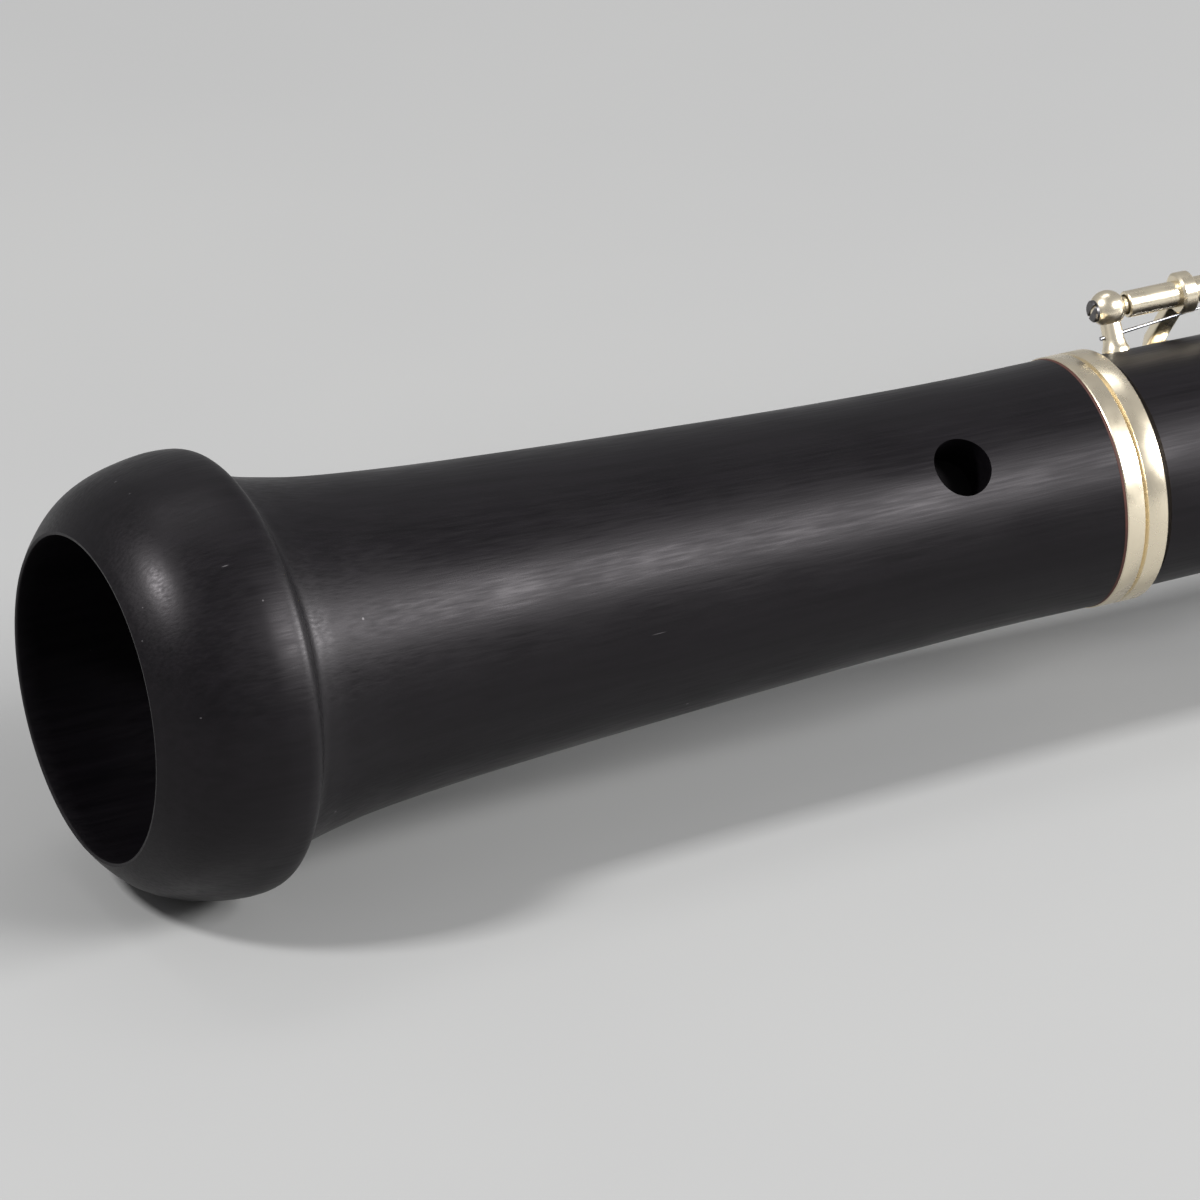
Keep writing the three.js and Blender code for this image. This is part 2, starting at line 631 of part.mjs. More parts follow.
const socketRingStart = UPPER_START - SOCKET_RING_LENGTH + FIT_GAP;
const socketRing = [
  [socketRingStart, lowerRingSeat],
  [socketRingStart, LOWER_HEAD_RADIUS],
  [socketRingStart + 1, LOWER_HEAD_RADIUS + 0.4],
  [UPPER_START - 1, LOWER_HEAD_RADIUS + 0.4],
  [UPPER_START, LOWER_HEAD_RADIUS],
  [UPPER_START, lowerRingSeat],
];
addMesh(lowerJoint, "lower_socket_ring", turned(socketRing, RING_SIDES), SILVER);

// ---- Upper joint --------------------------------------------------------------------------------

const upperShoulder = UPPER_START + FIT_GAP;
const upperTenonEnd = upperShoulder - TENON_LENGTH;
const crownSeat = CROWN_RADIUS - RING_THICKNESS;
const crownFace = CROWN_TOP - RING_THICKNESS - FIT_GAP;
const wellFloor = CROWN_TOP - REED_WELL_DEPTH;
const upperOutline = [
  ...UPPER_OUTSIDE,
  [CROWN_TOP - CROWN_RING_LENGTH, crownSeat - FIT_GAP],
  [crownFace, crownSeat - FIT_GAP],
  [crownFace, REED_WELL_RADIUS],
  [wellFloor, REED_WELL_RADIUS],
  [wellFloor, BORE_TOP_RADIUS],
  [upperTenonEnd, BORE_MIDDLE_RADIUS],
  ...tenonOutline(upperTenonEnd, upperShoulder, MIDDLE_TENON_RADIUS, BORE_MIDDLE_RADIUS)
    .slice(0, -1)
    .reverse(),
];
addMesh(
  upperJoint,
  "upper_joint_body",
  cut(turned(upperOutline, BODY_SIDES), ...upperHoles.flatMap(toneHoleCutters)),
  WOOD,
);
addMesh(upperJoint, "upper_tenon_cork", tenonCork(upperTenonEnd, MIDDLE_TENON_RADIUS), CORK);

// The crown ring is a cap: it also covers the end of the wood round the reed well.
const crownStart = CROWN_TOP - CROWN_RING_LENGTH + FIT_GAP;
const crownRing = [
  [crownStart, crownSeat],
  [crownStart, CROWN_RADIUS],
  [CROWN_TOP - 0.8, CROWN_RADIUS + 0.3],
  [CROWN_TOP, CROWN_RADIUS - 0.5],
  [CROWN_TOP, REED_WELL_RADIUS + 1],
  [CROWN_TOP - RING_THICKNESS, REED_WELL_RADIUS + 1],
  [CROWN_TOP - RING_THICKNESS, crownSeat],
];
addMesh(upperJoint, "crown_ring", turned(crownRing, RING_SIDES), SILVER);

// ---- Reed ---------------------------------------------------------------------------------------

const stapleStart = wellFloor + FIT_GAP;
const stapleTop = stapleStart + REED_TUBE_LENGTH;
const caneStart = stapleTop - CANE_OVERLAP;
const caneTip = stapleTop + REED_CANE_LENGTH;
const staple = [
  [stapleStart, STAPLE_FOOT_RADIUS],
  [caneStart - 1, STAPLE_TOP_RADIUS + 0.2],
  [stapleTop, STAPLE_TOP_RADIUS],
  [stapleTop, STAPLE_TOP_RADIUS - STAPLE_WALL],
  [stapleStart, STAPLE_FOOT_RADIUS - STAPLE_WALL],
];
addMesh(reed, "reed_staple", turned(staple, CUP_SIDES), BRASS);
const reedCork = [
  [stapleStart, STAPLE_FOOT_RADIUS + FIT_GAP],
  [stapleStart, REED_CORK_RADIUS - 0.3],
  [stapleStart + 6, REED_CORK_RADIUS],
  [stapleStart + REED_CORK_LENGTH, REED_CORK_RADIUS],
  [stapleStart + REED_CORK_LENGTH, STAPLE_FOOT_RADIUS + FIT_GAP],
];
addMesh(reed, "reed_cork", turned(reedCork, CUP_SIDES), CORK);
const threadOutline = [
  [caneStart - 2, STAPLE_TOP_RADIUS + 0.5],
  [caneStart - 2, CANE_RADIUS + FIT_GAP],
  [caneStart, CANE_RADIUS + FIT_GAP + THREAD_THICKNESS],
  [stapleTop - 0.5, CANE_RADIUS + FIT_GAP + THREAD_THICKNESS],
  [stapleTop - 0.5, CANE_RADIUS + FIT_GAP],
  [caneStart - 0.4, CANE_RADIUS + FIT_GAP],
  [caneStart - 0.4, STAPLE_TOP_RADIUS + 0.5],
];
addMesh(reed, "reed_thread", turned(threadOutline, CUP_SIDES), THREAD);

// One blade of cane: a fan from the front, a wedge from the side, and hollow where it lies on the staple.
function blade(side) {
  const fan = new THREE.Shape([
    new THREE.Vector2(caneStart, -CANE_RADIUS),
    new THREE.Vector2(stapleTop, -CANE_RADIUS),
    new THREE.Vector2(caneTip, -REED_TIP_WIDTH / 2),
    new THREE.Vector2(caneTip, REED_TIP_WIDTH / 2),
    new THREE.Vector2(stapleTop, CANE_RADIUS),
    new THREE.Vector2(caneStart, CANE_RADIUS),
  ]);
  const flat = solid(new THREE.ExtrudeGeometry(fan, { depth: CANE_RADIUS, bevelEnabled: false }));
  const wedge = new THREE.Shape([
    new THREE.Vector2(caneStart - 1, REED_SLIT),
    new THREE.Vector2(caneTip + 1, REED_SLIT),
    new THREE.Vector2(caneTip + 1, REED_SLIT + REED_TIP_THICKNESS),
    new THREE.Vector2((stapleTop + caneTip) / 2, 0.55 * CANE_RADIUS),
    new THREE.Vector2(stapleTop, CANE_RADIUS),
    new THREE.Vector2(caneStart - 1, CANE_RADIUS),
  ]);
  const tall = solid(
    new THREE.ExtrudeGeometry(wedge, { depth: 2 * REED_TIP_WIDTH, bevelEnabled: false })
      .rotateX(Math.PI / 2)
      .translate(0, REED_TIP_WIDTH, 0),
  );
  const barrel = turned(
    [
      [caneStart, 0],
      [caneStart, CANE_RADIUS],
      [stapleTop, CANE_RADIUS],
      [caneTip, REED_TIP_WIDTH],
      [caneTip, 0],
    ],
    CUP_SIDES,
  );
  const hollow = turned(
    [
      [caneStart - 1, 0],
      [caneStart - 1, STAPLE_TOP_RADIUS + FIT_GAP],
      [stapleTop + 1, STAPLE_TOP_RADIUS + FIT_GAP],
      [caneTip - 8, 0],
    ],
    CUP_SIDES,
  );
  return cut(flat.intersect(tall).intersect(barrel), hollow).rotate([side > 0 ? 0 : 180, 0, 0]);
}
addMesh(reed, "reed_blade_front", blade(1), CANE);
addMesh(reed, "reed_blade_back", blade(-1), CANE);

// ---- Keys of the lower joint --------------------------------------------------------------------

const LINK_STATION = onLower(0.315);
const LOW_ROD_ANGLE = 26;
const lowNotePosts = [onLower(0.0213), onLower(0.335), onLower(0.59)];
const lowNoteRod = hingeRod(lowerJoint, "low_note_rod", LOWER_OUTSIDE, LOW_ROD_ANGLE, lowNotePosts);
const leverPosts = [LINK_STATION - 8, onLower(0.95)];
const leverRod = hingeRod(lowerJoint, "b_flat_lever_rod", LOWER_OUTSIDE, -36, leverPosts);
const lowBRod = hingeRod(lowerJoint, "low_b_rod", LOWER_OUTSIDE, -64, [onLower(0.19), onLower(0.8)]);
const rightHandRod = hingeRod(
  lowerJoint,
  "right_hand_rod",
  LOWER_OUTSIDE,
  50,
  [onLower(0.615), onLower(0.935)],
  [(dHole.x + eHole.x) / 2, (eHole.x + fSharpHole.x) / 2],
);

// The low B flat key ends in a tail over the front. The left hand's lever reaches under it and lifts it.
const TAIL_THICKNESS = 1.3;
const LINK_GAP = 0.35;
const TAIL_RISE = 1.2;
const TAIL_OVERLAP = 1.6;
const tailEnd = [-TAIL_OVERLAP, lowNoteRod.centre[1] + TAIL_RISE];
const tail = strap(lowNoteRod.centre, tailEnd, TAIL_THICKNESS, LINK_STATION, ARM_WIDTH);
rodKey(lowerJoint, "low_b_flat", lowNoteRod, { hole: lowBFlatHole, open: true, press: -1, extras: [tail] });

const lowCTouchPlace = lowNotePosts[2] - BALL_RADIUS - END_PLAY - ARM_WIDTH;
const lowCTouch = touchOnArm(lowNoteRod, LOWER_OUTSIDE, lowCTouchPlace, 52, TOUCH_HEIGHT, 15, 8);
rodKey(lowerJoint, "low_c", lowNoteRod, { hole: lowCHole, open: true, press: -1, extras: [lowCTouch] });

const lowBTouch = touchOnArm(lowBRod, LOWER_OUTSIDE, onLower(0.75), -92, TOUCH_HEIGHT, 16, 8);
rodKey(lowerJoint, "low_b", lowBRod, { hole: lowBHole, open: true, press: 1, extras: [lowBTouch] });

rodKey(lowerJoint, "d", rightHandRod, { hole: dHole, open: true, press: 1 });
rodKey(lowerJoint, "e", rightHandRod, { hole: eHole, open: true, press: 1 });
rodKey(lowerJoint, "f_sharp", rightHandRod, { hole: fSharpHole, open: true, press: 1 });

// The lever that the left little finger presses. Its far end waits under the tail of the open low B
// flat key, and the two meet over the middle of the front, so their turns are as their rods' distances
// from there.
const bFlatLift = liftAngle(lowNoteRod, lowBFlatHole);
const linkRatio = lowNoteRod.centre[0] / -leverRod.centre[0];
const tailDrop = (lowNoteRod.centre[0] - tailEnd[0]) * Math.sin(radians(bFlatLift));
const leverEnd = [TAIL_OVERLAP, tailEnd[1] - tailDrop - TAIL_THICKNESS - LINK_GAP];
const leverArm = strap(leverRod.centre, leverEnd, TAIL_THICKNESS, LINK_STATION, ARM_WIDTH);
const leverTouch = touchOnArm(leverRod, LOWER_OUTSIDE, onLower(0.895), -66, TOUCH_HEIGHT, 15, 8);
rodKey(lowerJoint, "b_flat_lever", leverRod, {
  at: LINK_STATION,
  press: 1,
  extras: [leverArm, leverTouch],
  travel: linkRatio * bFlatLift,
});

rockingKey(lowerJoint, "e_flat", LOWER_OUTSIDE, eFlatHole, onLower(0.49), onLower(0.56), -5);

// The thumb rest on the back: a saddle on the wood, with a hook for the right thumb.
const REST_STATION = onLower(0.7);
const restRadius = radiusAt(LOWER_OUTSIDE, REST_STATION) + POST_GAP;
const REST_LENGTH = 20;
const REST_WIDTH = 11;
const REST_REACH = 8;
const restPlate = boxSolid(REST_LENGTH, REST_WIDTH, 4, REST_STATION, 0, -restRadius + 0.6);
const restHook = boxSolid(1.8, REST_WIDTH, REST_REACH, REST_STATION + 2, 0, -restRadius - REST_REACH / 2);
addMesh(
  lowerJoint,
  "thumb_rest",
  cut(join(restPlate, restHook), rodAlongX(REST_STATION - 20, REST_STATION + 20, restRadius, BODY_SIDES)),
  SILVER,
);

// ---- Keys of the upper joint --------------------------------------------------------------------

const gRodPosts = [onUpper(0.135), onUpper(0.4)];
const plateSplit = (gHole.x + aHole.x) / 2;
const leftHandRod = hingeRod(upperJoint, "left_hand_rod", UPPER_OUTSIDE, 50, gRodPosts, [plateSplit]);
const halfHoleRod = hingeRod(upperJoint, "half_hole_rod", UPPER_OUTSIDE, 50, [onUpper(0.52), onUpper(0.64)]);
const gSharpRod = hingeRod(upperJoint, "g_sharp_rod", UPPER_OUTSIDE, -62, [onUpper(0.12), onUpper(0.31)]);
const trillRod = hingeRod(upperJoint, "trill_rod", UPPER_OUTSIDE, 78, [onUpper(0.055), onUpper(0.745)]);
const octaveRod = hingeRod(upperJoint, "side_octave_rod", UPPER_OUTSIDE, -54, [onUpper(0.6), onUpper(0.85)]);

rodKey(upperJoint, "g", leftHandRod, { hole: gHole, open: true, press: 1 });
rodKey(upperJoint, "a", leftHandRod, { hole: aHole, open: true, press: 1 });
rodKey(upperJoint, "half_hole", halfHoleRod, { hole: halfHole, open: true, press: 1 });
rodKey(upperJoint, "g_sharp", gSharpRod, {
  hole: gSharpHole,
  press: 1,
  extras: [touchOnArm(gSharpRod, UPPER_OUTSIDE, onUpper(0.165), -90, TOUCH_HEIGHT, 13, 7)],
});
rodKey(upperJoint, "trill", trillRod, {
  hole: trillHole,
  press: 1,
  extras: [touchOnArm(trillRod, UPPER_OUTSIDE, onUpper(0.085), 52, TOUCH_HEIGHT, 12, 6)],
});
rodKey(upperJoint, "side_octave", octaveRod, {
  hole: sideOctaveHole,
  press: -1,
  extras: [touchOnArm(octaveRod, UPPER_OUTSIDE, onUpper(0.64), -27, TOUCH_HEIGHT, 13, 7)],
});
rockingKey(upperJoint, "thumb_octave", UPPER_OUTSIDE, thumbOctaveHole, onUpper(0.735), onUpper(0.665), 180);

// ---- Frame: the middle of the length over the origin, and the rim of the bell resting on z = 0 --

oboe.updateMatrixWorld(true);
const extent = new THREE.Box3().setFromObject(oboe);
oboe.position.set(
  -(extent.min.x + extent.max.x) / 2,
  -(extent.min.y + extent.max.y) / 2,
  -extent.min.z,
);

export default oboe;
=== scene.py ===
import json
from math import cos, radians, sin, sqrt, tau
from types import SimpleNamespace

import bpy
from mathutils import Matrix, Vector


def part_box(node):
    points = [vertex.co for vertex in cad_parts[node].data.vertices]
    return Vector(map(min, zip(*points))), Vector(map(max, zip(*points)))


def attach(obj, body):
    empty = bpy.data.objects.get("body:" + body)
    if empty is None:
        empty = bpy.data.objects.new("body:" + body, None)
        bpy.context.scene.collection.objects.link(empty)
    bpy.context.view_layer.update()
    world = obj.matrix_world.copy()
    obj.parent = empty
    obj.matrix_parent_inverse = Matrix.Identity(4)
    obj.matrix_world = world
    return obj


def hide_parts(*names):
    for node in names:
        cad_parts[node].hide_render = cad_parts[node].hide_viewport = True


# An oboe lying on a pale table: black wood in three sections, silver-plated rings and keys, a cane
# reed. Pieces are made in millimetres on the instrument's own bore, with the bell mouth at 0, then
# set into the frame in metres.

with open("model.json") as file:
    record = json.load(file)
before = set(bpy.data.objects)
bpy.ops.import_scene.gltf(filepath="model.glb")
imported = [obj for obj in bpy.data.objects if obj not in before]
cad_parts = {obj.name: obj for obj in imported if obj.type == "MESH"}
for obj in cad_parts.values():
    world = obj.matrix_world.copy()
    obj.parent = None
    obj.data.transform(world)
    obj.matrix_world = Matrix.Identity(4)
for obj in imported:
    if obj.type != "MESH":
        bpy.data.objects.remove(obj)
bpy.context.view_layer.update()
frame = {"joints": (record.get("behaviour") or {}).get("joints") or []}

MM = 0.001
bell_low, bell_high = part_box("bell_body")
ring_low, ring_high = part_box("bell_socket_ring")
BORE = Matrix.Translation((bell_low[0], 0, (ring_low[2] + ring_high[2]) / 2)) @ Matrix.Scale(MM, 4)

# ---- Camera ------------------------------------------------------------------------------------
# A long lens looks down over the bell from the open end, with the bore running away to the right.
camera_data = bpy.data.cameras.new("camera")
camera = bpy.data.objects.new("camera", camera_data)
bpy.context.collection.objects.link(camera)
camera.location = BORE @ Vector((-448.1, -1014.9, 545.5))
camera.rotation_euler = (radians(90 - 25.65), 0, radians(-27.11))
camera_data.sensor_width = 36
camera_data.lens = 300
camera_data.clip_start = 0.01
camera_data.clip_end = 50
bpy.context.scene.camera = camera

# ---- Table and light ---------------------------------------------------------------------------
# A matt pale grey table top, under four soft boxes: a wide one at the right front, small ones over
# the bell and at the right end, and a long one behind. The room itself gives a low even light.
bpy.context.scene.view_settings.view_transform = "Standard"


def colour(text):
    """A shader colour from an sRGB hex text."""
    parts = [int(text[i : i + 2], 16) / 255 for i in (1, 3, 5)]
    return tuple(c / 12.92 if c <= 0.04045 else ((c + 0.055) / 1.055) ** 2.4 for c in parts) + (1.0,)


def add_node(tree, kind, inputs, **settings):
    """A shader node with its settings; inputs are constants, or sockets to link from."""
    node = tree.nodes.new(kind)
    for key, value in settings.items():
        setattr(node, key, value)
    for key, value in inputs.items():
        if isinstance(value, bpy.types.NodeSocket):
            tree.links.new(value, node.inputs[key])
        else:
            node.inputs[key].default_value = value
    return node


def new_material(name):
    """An empty material with its principled shader already on the output."""
    material = bpy.data.materials.new(name)
    material.use_nodes = True
    tree = material.node_tree
    tree.nodes.clear()
    shader = tree.nodes.new("ShaderNodeBsdfPrincipled")
    output = tree.nodes.new("ShaderNodeOutputMaterial")
    tree.links.new(shader.outputs["BSDF"], output.inputs["Surface"])
    return material, tree, shader


def object_place(tree):
    """Where a point lies on its own piece, in metres."""
    return add_node(tree, "ShaderNodeTexCoord", {}).outputs["Object"]


def noise(tree, place, scale, detail):
    """Soft random patches from 0 to 1, about one over the scale across."""
    settings = {"Vector": place, "Scale": scale, "Detail": detail}
    return add_node(tree, "ShaderNodeTexNoise", settings).outputs["Fac"]


def stretched(tree, place, scale, turn=(0, 0, 0)):
    """A place measured in units of its own along each axis, for grain that runs along the bore."""
    settings = {"Vector": place, "Rotation": turn, "Scale": scale}
    return add_node(tree, "ShaderNodeMapping", settings).outputs["Vector"]


def two_tone(tree, factor, dark, light, start=0.0, end=1.0):
    """A colour that runs from dark to light as the factor goes from start to end."""
    ramp = add_node(tree, "ShaderNodeValToRGB", {"Fac": factor})
    for stop, position, text in zip(ramp.color_ramp.elements, (start, end), (dark, light)):
        stop.position = position
        stop.color = colour(text)
    return ramp.outputs["Color"]


def rescaled(tree, value, low, high, to_low, to_high):
    """The value carried from one range to another, and held at its ends."""
    ends = {"From Min": low, "From Max": high, "To Min": to_low, "To Max": to_high}
    return add_node(tree, "ShaderNodeMapRange", {"Value": value, **ends}).outputs["Result"]


def calculated(tree, operation, first, second):
    """One sum, product or comparison of two values."""
    return add_node(tree, "ShaderNodeMath", {0: first, 1: second}, operation=operation).outputs["Value"]


def roughened(tree, shader, height, strength, distance):
    """Relief too fine to model, from a height."""
    bump = add_node(tree, "ShaderNodeBump", {"Strength": strength, "Distance": distance, "Height": height})
    tree.links.new(bump.outputs["Normal"], shader.inputs["Normal"])


table_paint, tree, shader = new_material("table_paint")  # matt grey paint, a little mottled
mottle = noise(tree, object_place(tree), 9.0, 3.0)
tree.links.new(two_tone(tree, mottle, "#9b9b9b", "#a1a1a0"), shader.inputs["Base Color"])
shader.inputs["Roughness"].default_value = 0.75
shader.inputs["Specular IOR Level"].default_value = 0.25

bpy.ops.mesh.primitive_plane_add(size=9, location=(0, 0, 0))
table = bpy.context.object
table.name = "table"
table.data.materials.append(table_paint)

world = bpy.data.worlds.new("studio")
bpy.context.scene.world = world
world.use_nodes = True
world.node_tree.nodes["Background"].inputs["Color"].default_value = colour("#f4f4f6")
world.node_tree.nodes["Background"].inputs["Strength"].default_value = 0.41


def soft_box(name, direction, distance, width, height, power, aim=(-0.25, 0, 0.03)):
    """A rectangular lamp in a direction from the bell, turned to face it."""
    data = bpy.data.lights.new(name, "AREA")
    data.shape = "RECTANGLE"
    data.size = width
    data.size_y = height
    data.energy = power
    lamp = bpy.data.objects.new(name, data)
    bpy.context.collection.objects.link(lamp)
    lamp.location = Vector(aim) + Vector(direction).normalized() * distance
    lamp.rotation_euler = Vector(direction).to_track_quat("Z", "Y").to_euler()
    return lamp


soft_box("key_box", (0.52, -0.67, 0.54), 1.5, 0.5, 0.55, 18.0)
soft_box("bell_box", (-0.63, 0.0, 0.77), 1.5, 0.22, 0.22, 20, (-0.32, 0, 0.03))
soft_box("side_box", (0.89, -0.33, 0.3), 1.3, 0.28, 0.28, 14)
soft_box("top_box", (0.05, 0.4, 0.92), 1.9, 1.1, 0.5, 4.5)

# ---- Bell --------------------------------------------------------------------------------------
# The bell is turned from one billet of black hardwood, bored out, oiled and rubbed to a satin sheen.
# It swells to a rounded rim round the mouth, and one open vent is drilled through its side.
BELL_LENGTH = 144.9
MOUTH_RADIUS = 20.65
LIP_RADIUS = 21.15
RING_SHOULDER = 138.7  # the station where the wood is turned down for the ring
RING_SEAT_RADIUS = 14.5
SOCKET_FLOOR = 124.9
SOCKET_RADIUS = 12.8
BELL_OUTSIDE = [
    (0.0, LIP_RADIUS), (1.0, 22.42), (3.0, 24.41), (5.0, 25.79), (7.0, 26.72), (9.0, 27.36), (11.0, 27.8),
    (13.0, 28.12), (15.0, 28.3), (17.3, 28.2), (18.5, 27.9), (19.3, 27.4), (19.9, 26.6), (20.3, 25.7),
    (20.8, 24.9), (21.6, 24.3), (22.9, 23.8), (25.0, 23.15), (28.0, 22.5), (32.0, 21.75), (36.0, 21.21),
    (42.0, 20.6), (50.0, 19.93), (58.0, 19.38), (70.0, 18.65), (82.0, 17.99), (95.0, 17.31),
    (108.0, 16.76), (125.0, 16.3), (RING_SHOULDER, 16.28),
]
BELL_INSIDE = [
    (SOCKET_FLOOR, 8.6), (100.0, 9.9), (75.0, 11.8), (55.0, 14.0), (37.5, 16.6), (22.0, 19.6),
    (12.5, 21.0), (3.0, 21.1),
]
VENT_RADIUS = 3.95
VENT_STATION = 117.3
VENT_ANGLE = -44.5
WOOD_SIDES = 192


def smooth(points, steps):
    """The same profile with every stretch divided into steps on a smooth curve through its points."""
    slopes = []
    for i in range(len(points)):
        (x0, r0), (x1, r1) = points[max(i - 1, 0)], points[min(i + 1, len(points) - 1)]
        slopes.append((r1 - r0) / (x1 - x0))
    made = [points[0]]
    for (x0, r0), (x1, r1), s0, s1 in zip(points, points[1:], slopes, slopes[1:]):
        span = x1 - x0
        for k in range(1, steps + 1):
            t = k / steps
            flat = (2 * t**3 - 3 * t**2 + 1) * r0 + (3 * t**2 - 2 * t**3) * r1
            made.append((x0 + t * span, flat + span * ((t**3 - 2 * t**2 + t) * s0 + (t**3 - t**2) * s1)))
    return made


def start_point(name, point):
    """A new object with one vertex, left in edit mode."""
    bpy.ops.object.select_all(action="DESELECT")
    bpy.ops.mesh.primitive_plane_add(size=1, location=(0, 0, 0))
    piece = bpy.context.object
    piece.name = name
    bpy.ops.object.mode_set(mode="EDIT")
    bpy.ops.mesh.select_all(action="SELECT")
    bpy.ops.mesh.merge(type="CENTER")
    bpy.ops.transform.translate(value=point)
    return piece


def draw_on(points):
    """Extrudes the selected vertex through the rest of the points."""
    for here, there in zip(points, points[1:]):
        step = [b - a for a, b in zip(here, there)]
        bpy.ops.mesh.extrude_region_move(TRANSFORM_OT_translate={"value": step})


def turned(name, outline, sides=48, matrix=None):
    """A solid turned about X from (station, radius) points in mm."""
    points = [(x, 0, r) for x, r in outline]
    piece = start_point(name, points[0])
    draw_on(points)
    bpy.ops.mesh.select_all(action="SELECT")
    bpy.ops.mesh.spin(steps=sides, angle=tau, center=(0, 0, 0), axis=(1, 0, 0), use_auto_merge=True)
    bpy.ops.mesh.select_all(action="SELECT")
    bpy.ops.mesh.remove_doubles(threshold=0.0005)
    bpy.ops.mesh.normals_make_consistent(inside=False)
    bpy.ops.object.mode_set(mode="OBJECT")
    return put(piece, matrix) if matrix else piece


def put(piece, matrix):
    """Moves a piece by a matrix and applies it, so the piece ends at the origin, unturned and unscaled."""
    bpy.ops.object.select_all(action="DESELECT")
    piece.select_set(True)
    bpy.context.view_layer.objects.active = piece
    piece.matrix_world = matrix
    bpy.ops.object.transform_apply(location=True, rotation=True, scale=True)
    return piece


def outwards(x, angle):
    """The place of a piece that stands out from the bore at a station and an angle from the front."""
    turn = Matrix.Rotation(radians(-angle), 4, "X") @ Matrix.Rotation(radians(-90), 4, "Y")
    return Matrix.Translation((x, 0, 0)) @ turn


def modify(piece, kind, **settings):
    """Adds one modifier with its settings and applies it."""
    bpy.ops.object.select_all(action="DESELECT")
    piece.select_set(True)
    bpy.context.view_layer.objects.active = piece
    modifier = piece.modifiers.new(kind.lower(), kind)
    for key, value in settings.items():
        setattr(modifier, key, value)
    bpy.ops.object.modifier_apply(modifier=modifier.name)
    return piece


def soften(piece, width, segments=2, angle=35):
    """Rounds the sharp edges of a piece."""
    limit = {"limit_method": "ANGLE", "angle_limit": radians(angle)}
    return modify(piece, "BEVEL", width=width, segments=segments, **limit)


def carve(piece, cutter):
    """Cuts one piece out of another and discards it."""
    modify(piece, "BOOLEAN", operation="DIFFERENCE", solver="EXACT", object=cutter)
    bpy.data.objects.remove(cutter, do_unlink=True)
    return piece


def joined(name, parts):
    """Several parts as one piece."""
    bpy.ops.object.select_all(action="DESELECT")
    for part in parts:
        part.select_set(True)
    bpy.context.view_layer.objects.active = parts[0]
    if len(parts) > 1:
        bpy.ops.object.join()
    parts[0].name = name
    return parts[0]


def finished(piece, material, body, nodes=(), angle=32):
    """Shades a piece and ties it to its body and the nodes that it stands for."""
    bpy.ops.object.select_all(action="DESELECT")
    piece.select_set(True)
    bpy.context.view_layer.objects.active = piece
    bpy.ops.object.mode_set(mode="EDIT")
    bpy.ops.mesh.select_all(action="SELECT")
    bpy.ops.mesh.normals_make_consistent(inside=False)
    bpy.ops.object.mode_set(mode="OBJECT")
    bpy.ops.object.shade_smooth_by_angle(angle=radians(angle))
    piece.data.materials.clear()
    piece.data.materials.append(material)
    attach(piece, body)
    if nodes:
        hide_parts(*nodes)
    return piece


black_wood, tree, shader = new_material("black_wood")  # oiled satin hardwood, long fine grain, some dust
place = object_place(tree)
grain = noise(tree, stretched(tree, place, (30, 900, 900)), 1.0, 5.0)
wood_tint = two_tone(tree, grain, "#070608", "#0e0c0f", 0.35, 0.75)
specks = add_node(tree, "ShaderNodeTexVoronoi", {"Vector": place, "Scale": 210.0})
speck = rescaled(tree, specks.outputs["Distance"], 0.025, 0.045, 1.0, 0.0)
lot = add_node(tree, "ShaderNodeSeparateColor", {"Color": specks.outputs["Color"]}).outputs["Red"]
dust = calculated(tree, "MULTIPLY", speck, calculated(tree, "GREATER_THAN", lot, 0.72))
hair_place = stretched(tree, place, (28, 1300, 1300), (0.5, 0.35, 0.9))
hairs = add_node(tree, "ShaderNodeTexVoronoi", {"Vector": hair_place, "Scale": 1.0})
hair = rescaled(tree, hairs.outputs["Distance"], 0.05, 0.12, 0.6, 0.0)
hair_lot = add_node(tree, "ShaderNodeSeparateColor", {"Color": hairs.outputs["Color"]}).outputs["Green"]
scratch = calculated(tree, "MULTIPLY", hair, calculated(tree, "GREATER_THAN", hair_lot, 0.985))
marks = calculated(tree, "MAXIMUM", dust, scratch)
dusty = add_node(tree, "ShaderNodeMix", {0: marks, 6: wood_tint, 7: colour("#6a6769")}, data_type="RGBA")
tree.links.new(dusty.outputs[2], shader.inputs["Base Color"])
cloud = noise(tree, place, 60.0, 4.0)
fibre = noise(tree, stretched(tree, place, (110, 2600, 2600)), 1.0, 3.0)
sheen = rescaled(tree, calculated(tree, "ADD", cloud, fibre), 0.7, 1.3, 0.32, 0.5)
tree.links.new(sheen, shader.inputs["Roughness"])
shader.inputs["Specular IOR Level"].default_value = 0.22
shader.inputs["Specular Tint"].default_value = (1.0, 0.94, 0.98, 1.0)
roughened(tree, shader, fibre, 0.4, 0.00003)

bell_outline = smooth(BELL_OUTSIDE, 4)
bell_outline += [(RING_SHOULDER, RING_SEAT_RADIUS), (BELL_LENGTH, RING_SEAT_RADIUS)]
bell_outline += [(BELL_LENGTH, SOCKET_RADIUS), (SOCKET_FLOOR, SOCKET_RADIUS), *BELL_INSIDE]
bell_outline += [(0.35, MOUTH_RADIUS), (0.08, MOUTH_RADIUS + 0.1), (0.0, MOUTH_RADIUS + 0.3)]
bell_outline += [(0.0, LIP_RADIUS)]
bell = turned("bell", bell_outline, WOOD_SIDES)
vent = [(9, 0), (9, VENT_RADIUS), (40, VENT_RADIUS), (40, 0)]
carve(bell, turned("vent_drill", vent, 64, outwards(VENT_STATION, VENT_ANGLE)))
finished(put(bell, BORE), black_wood, "bell", ["bell_body"])

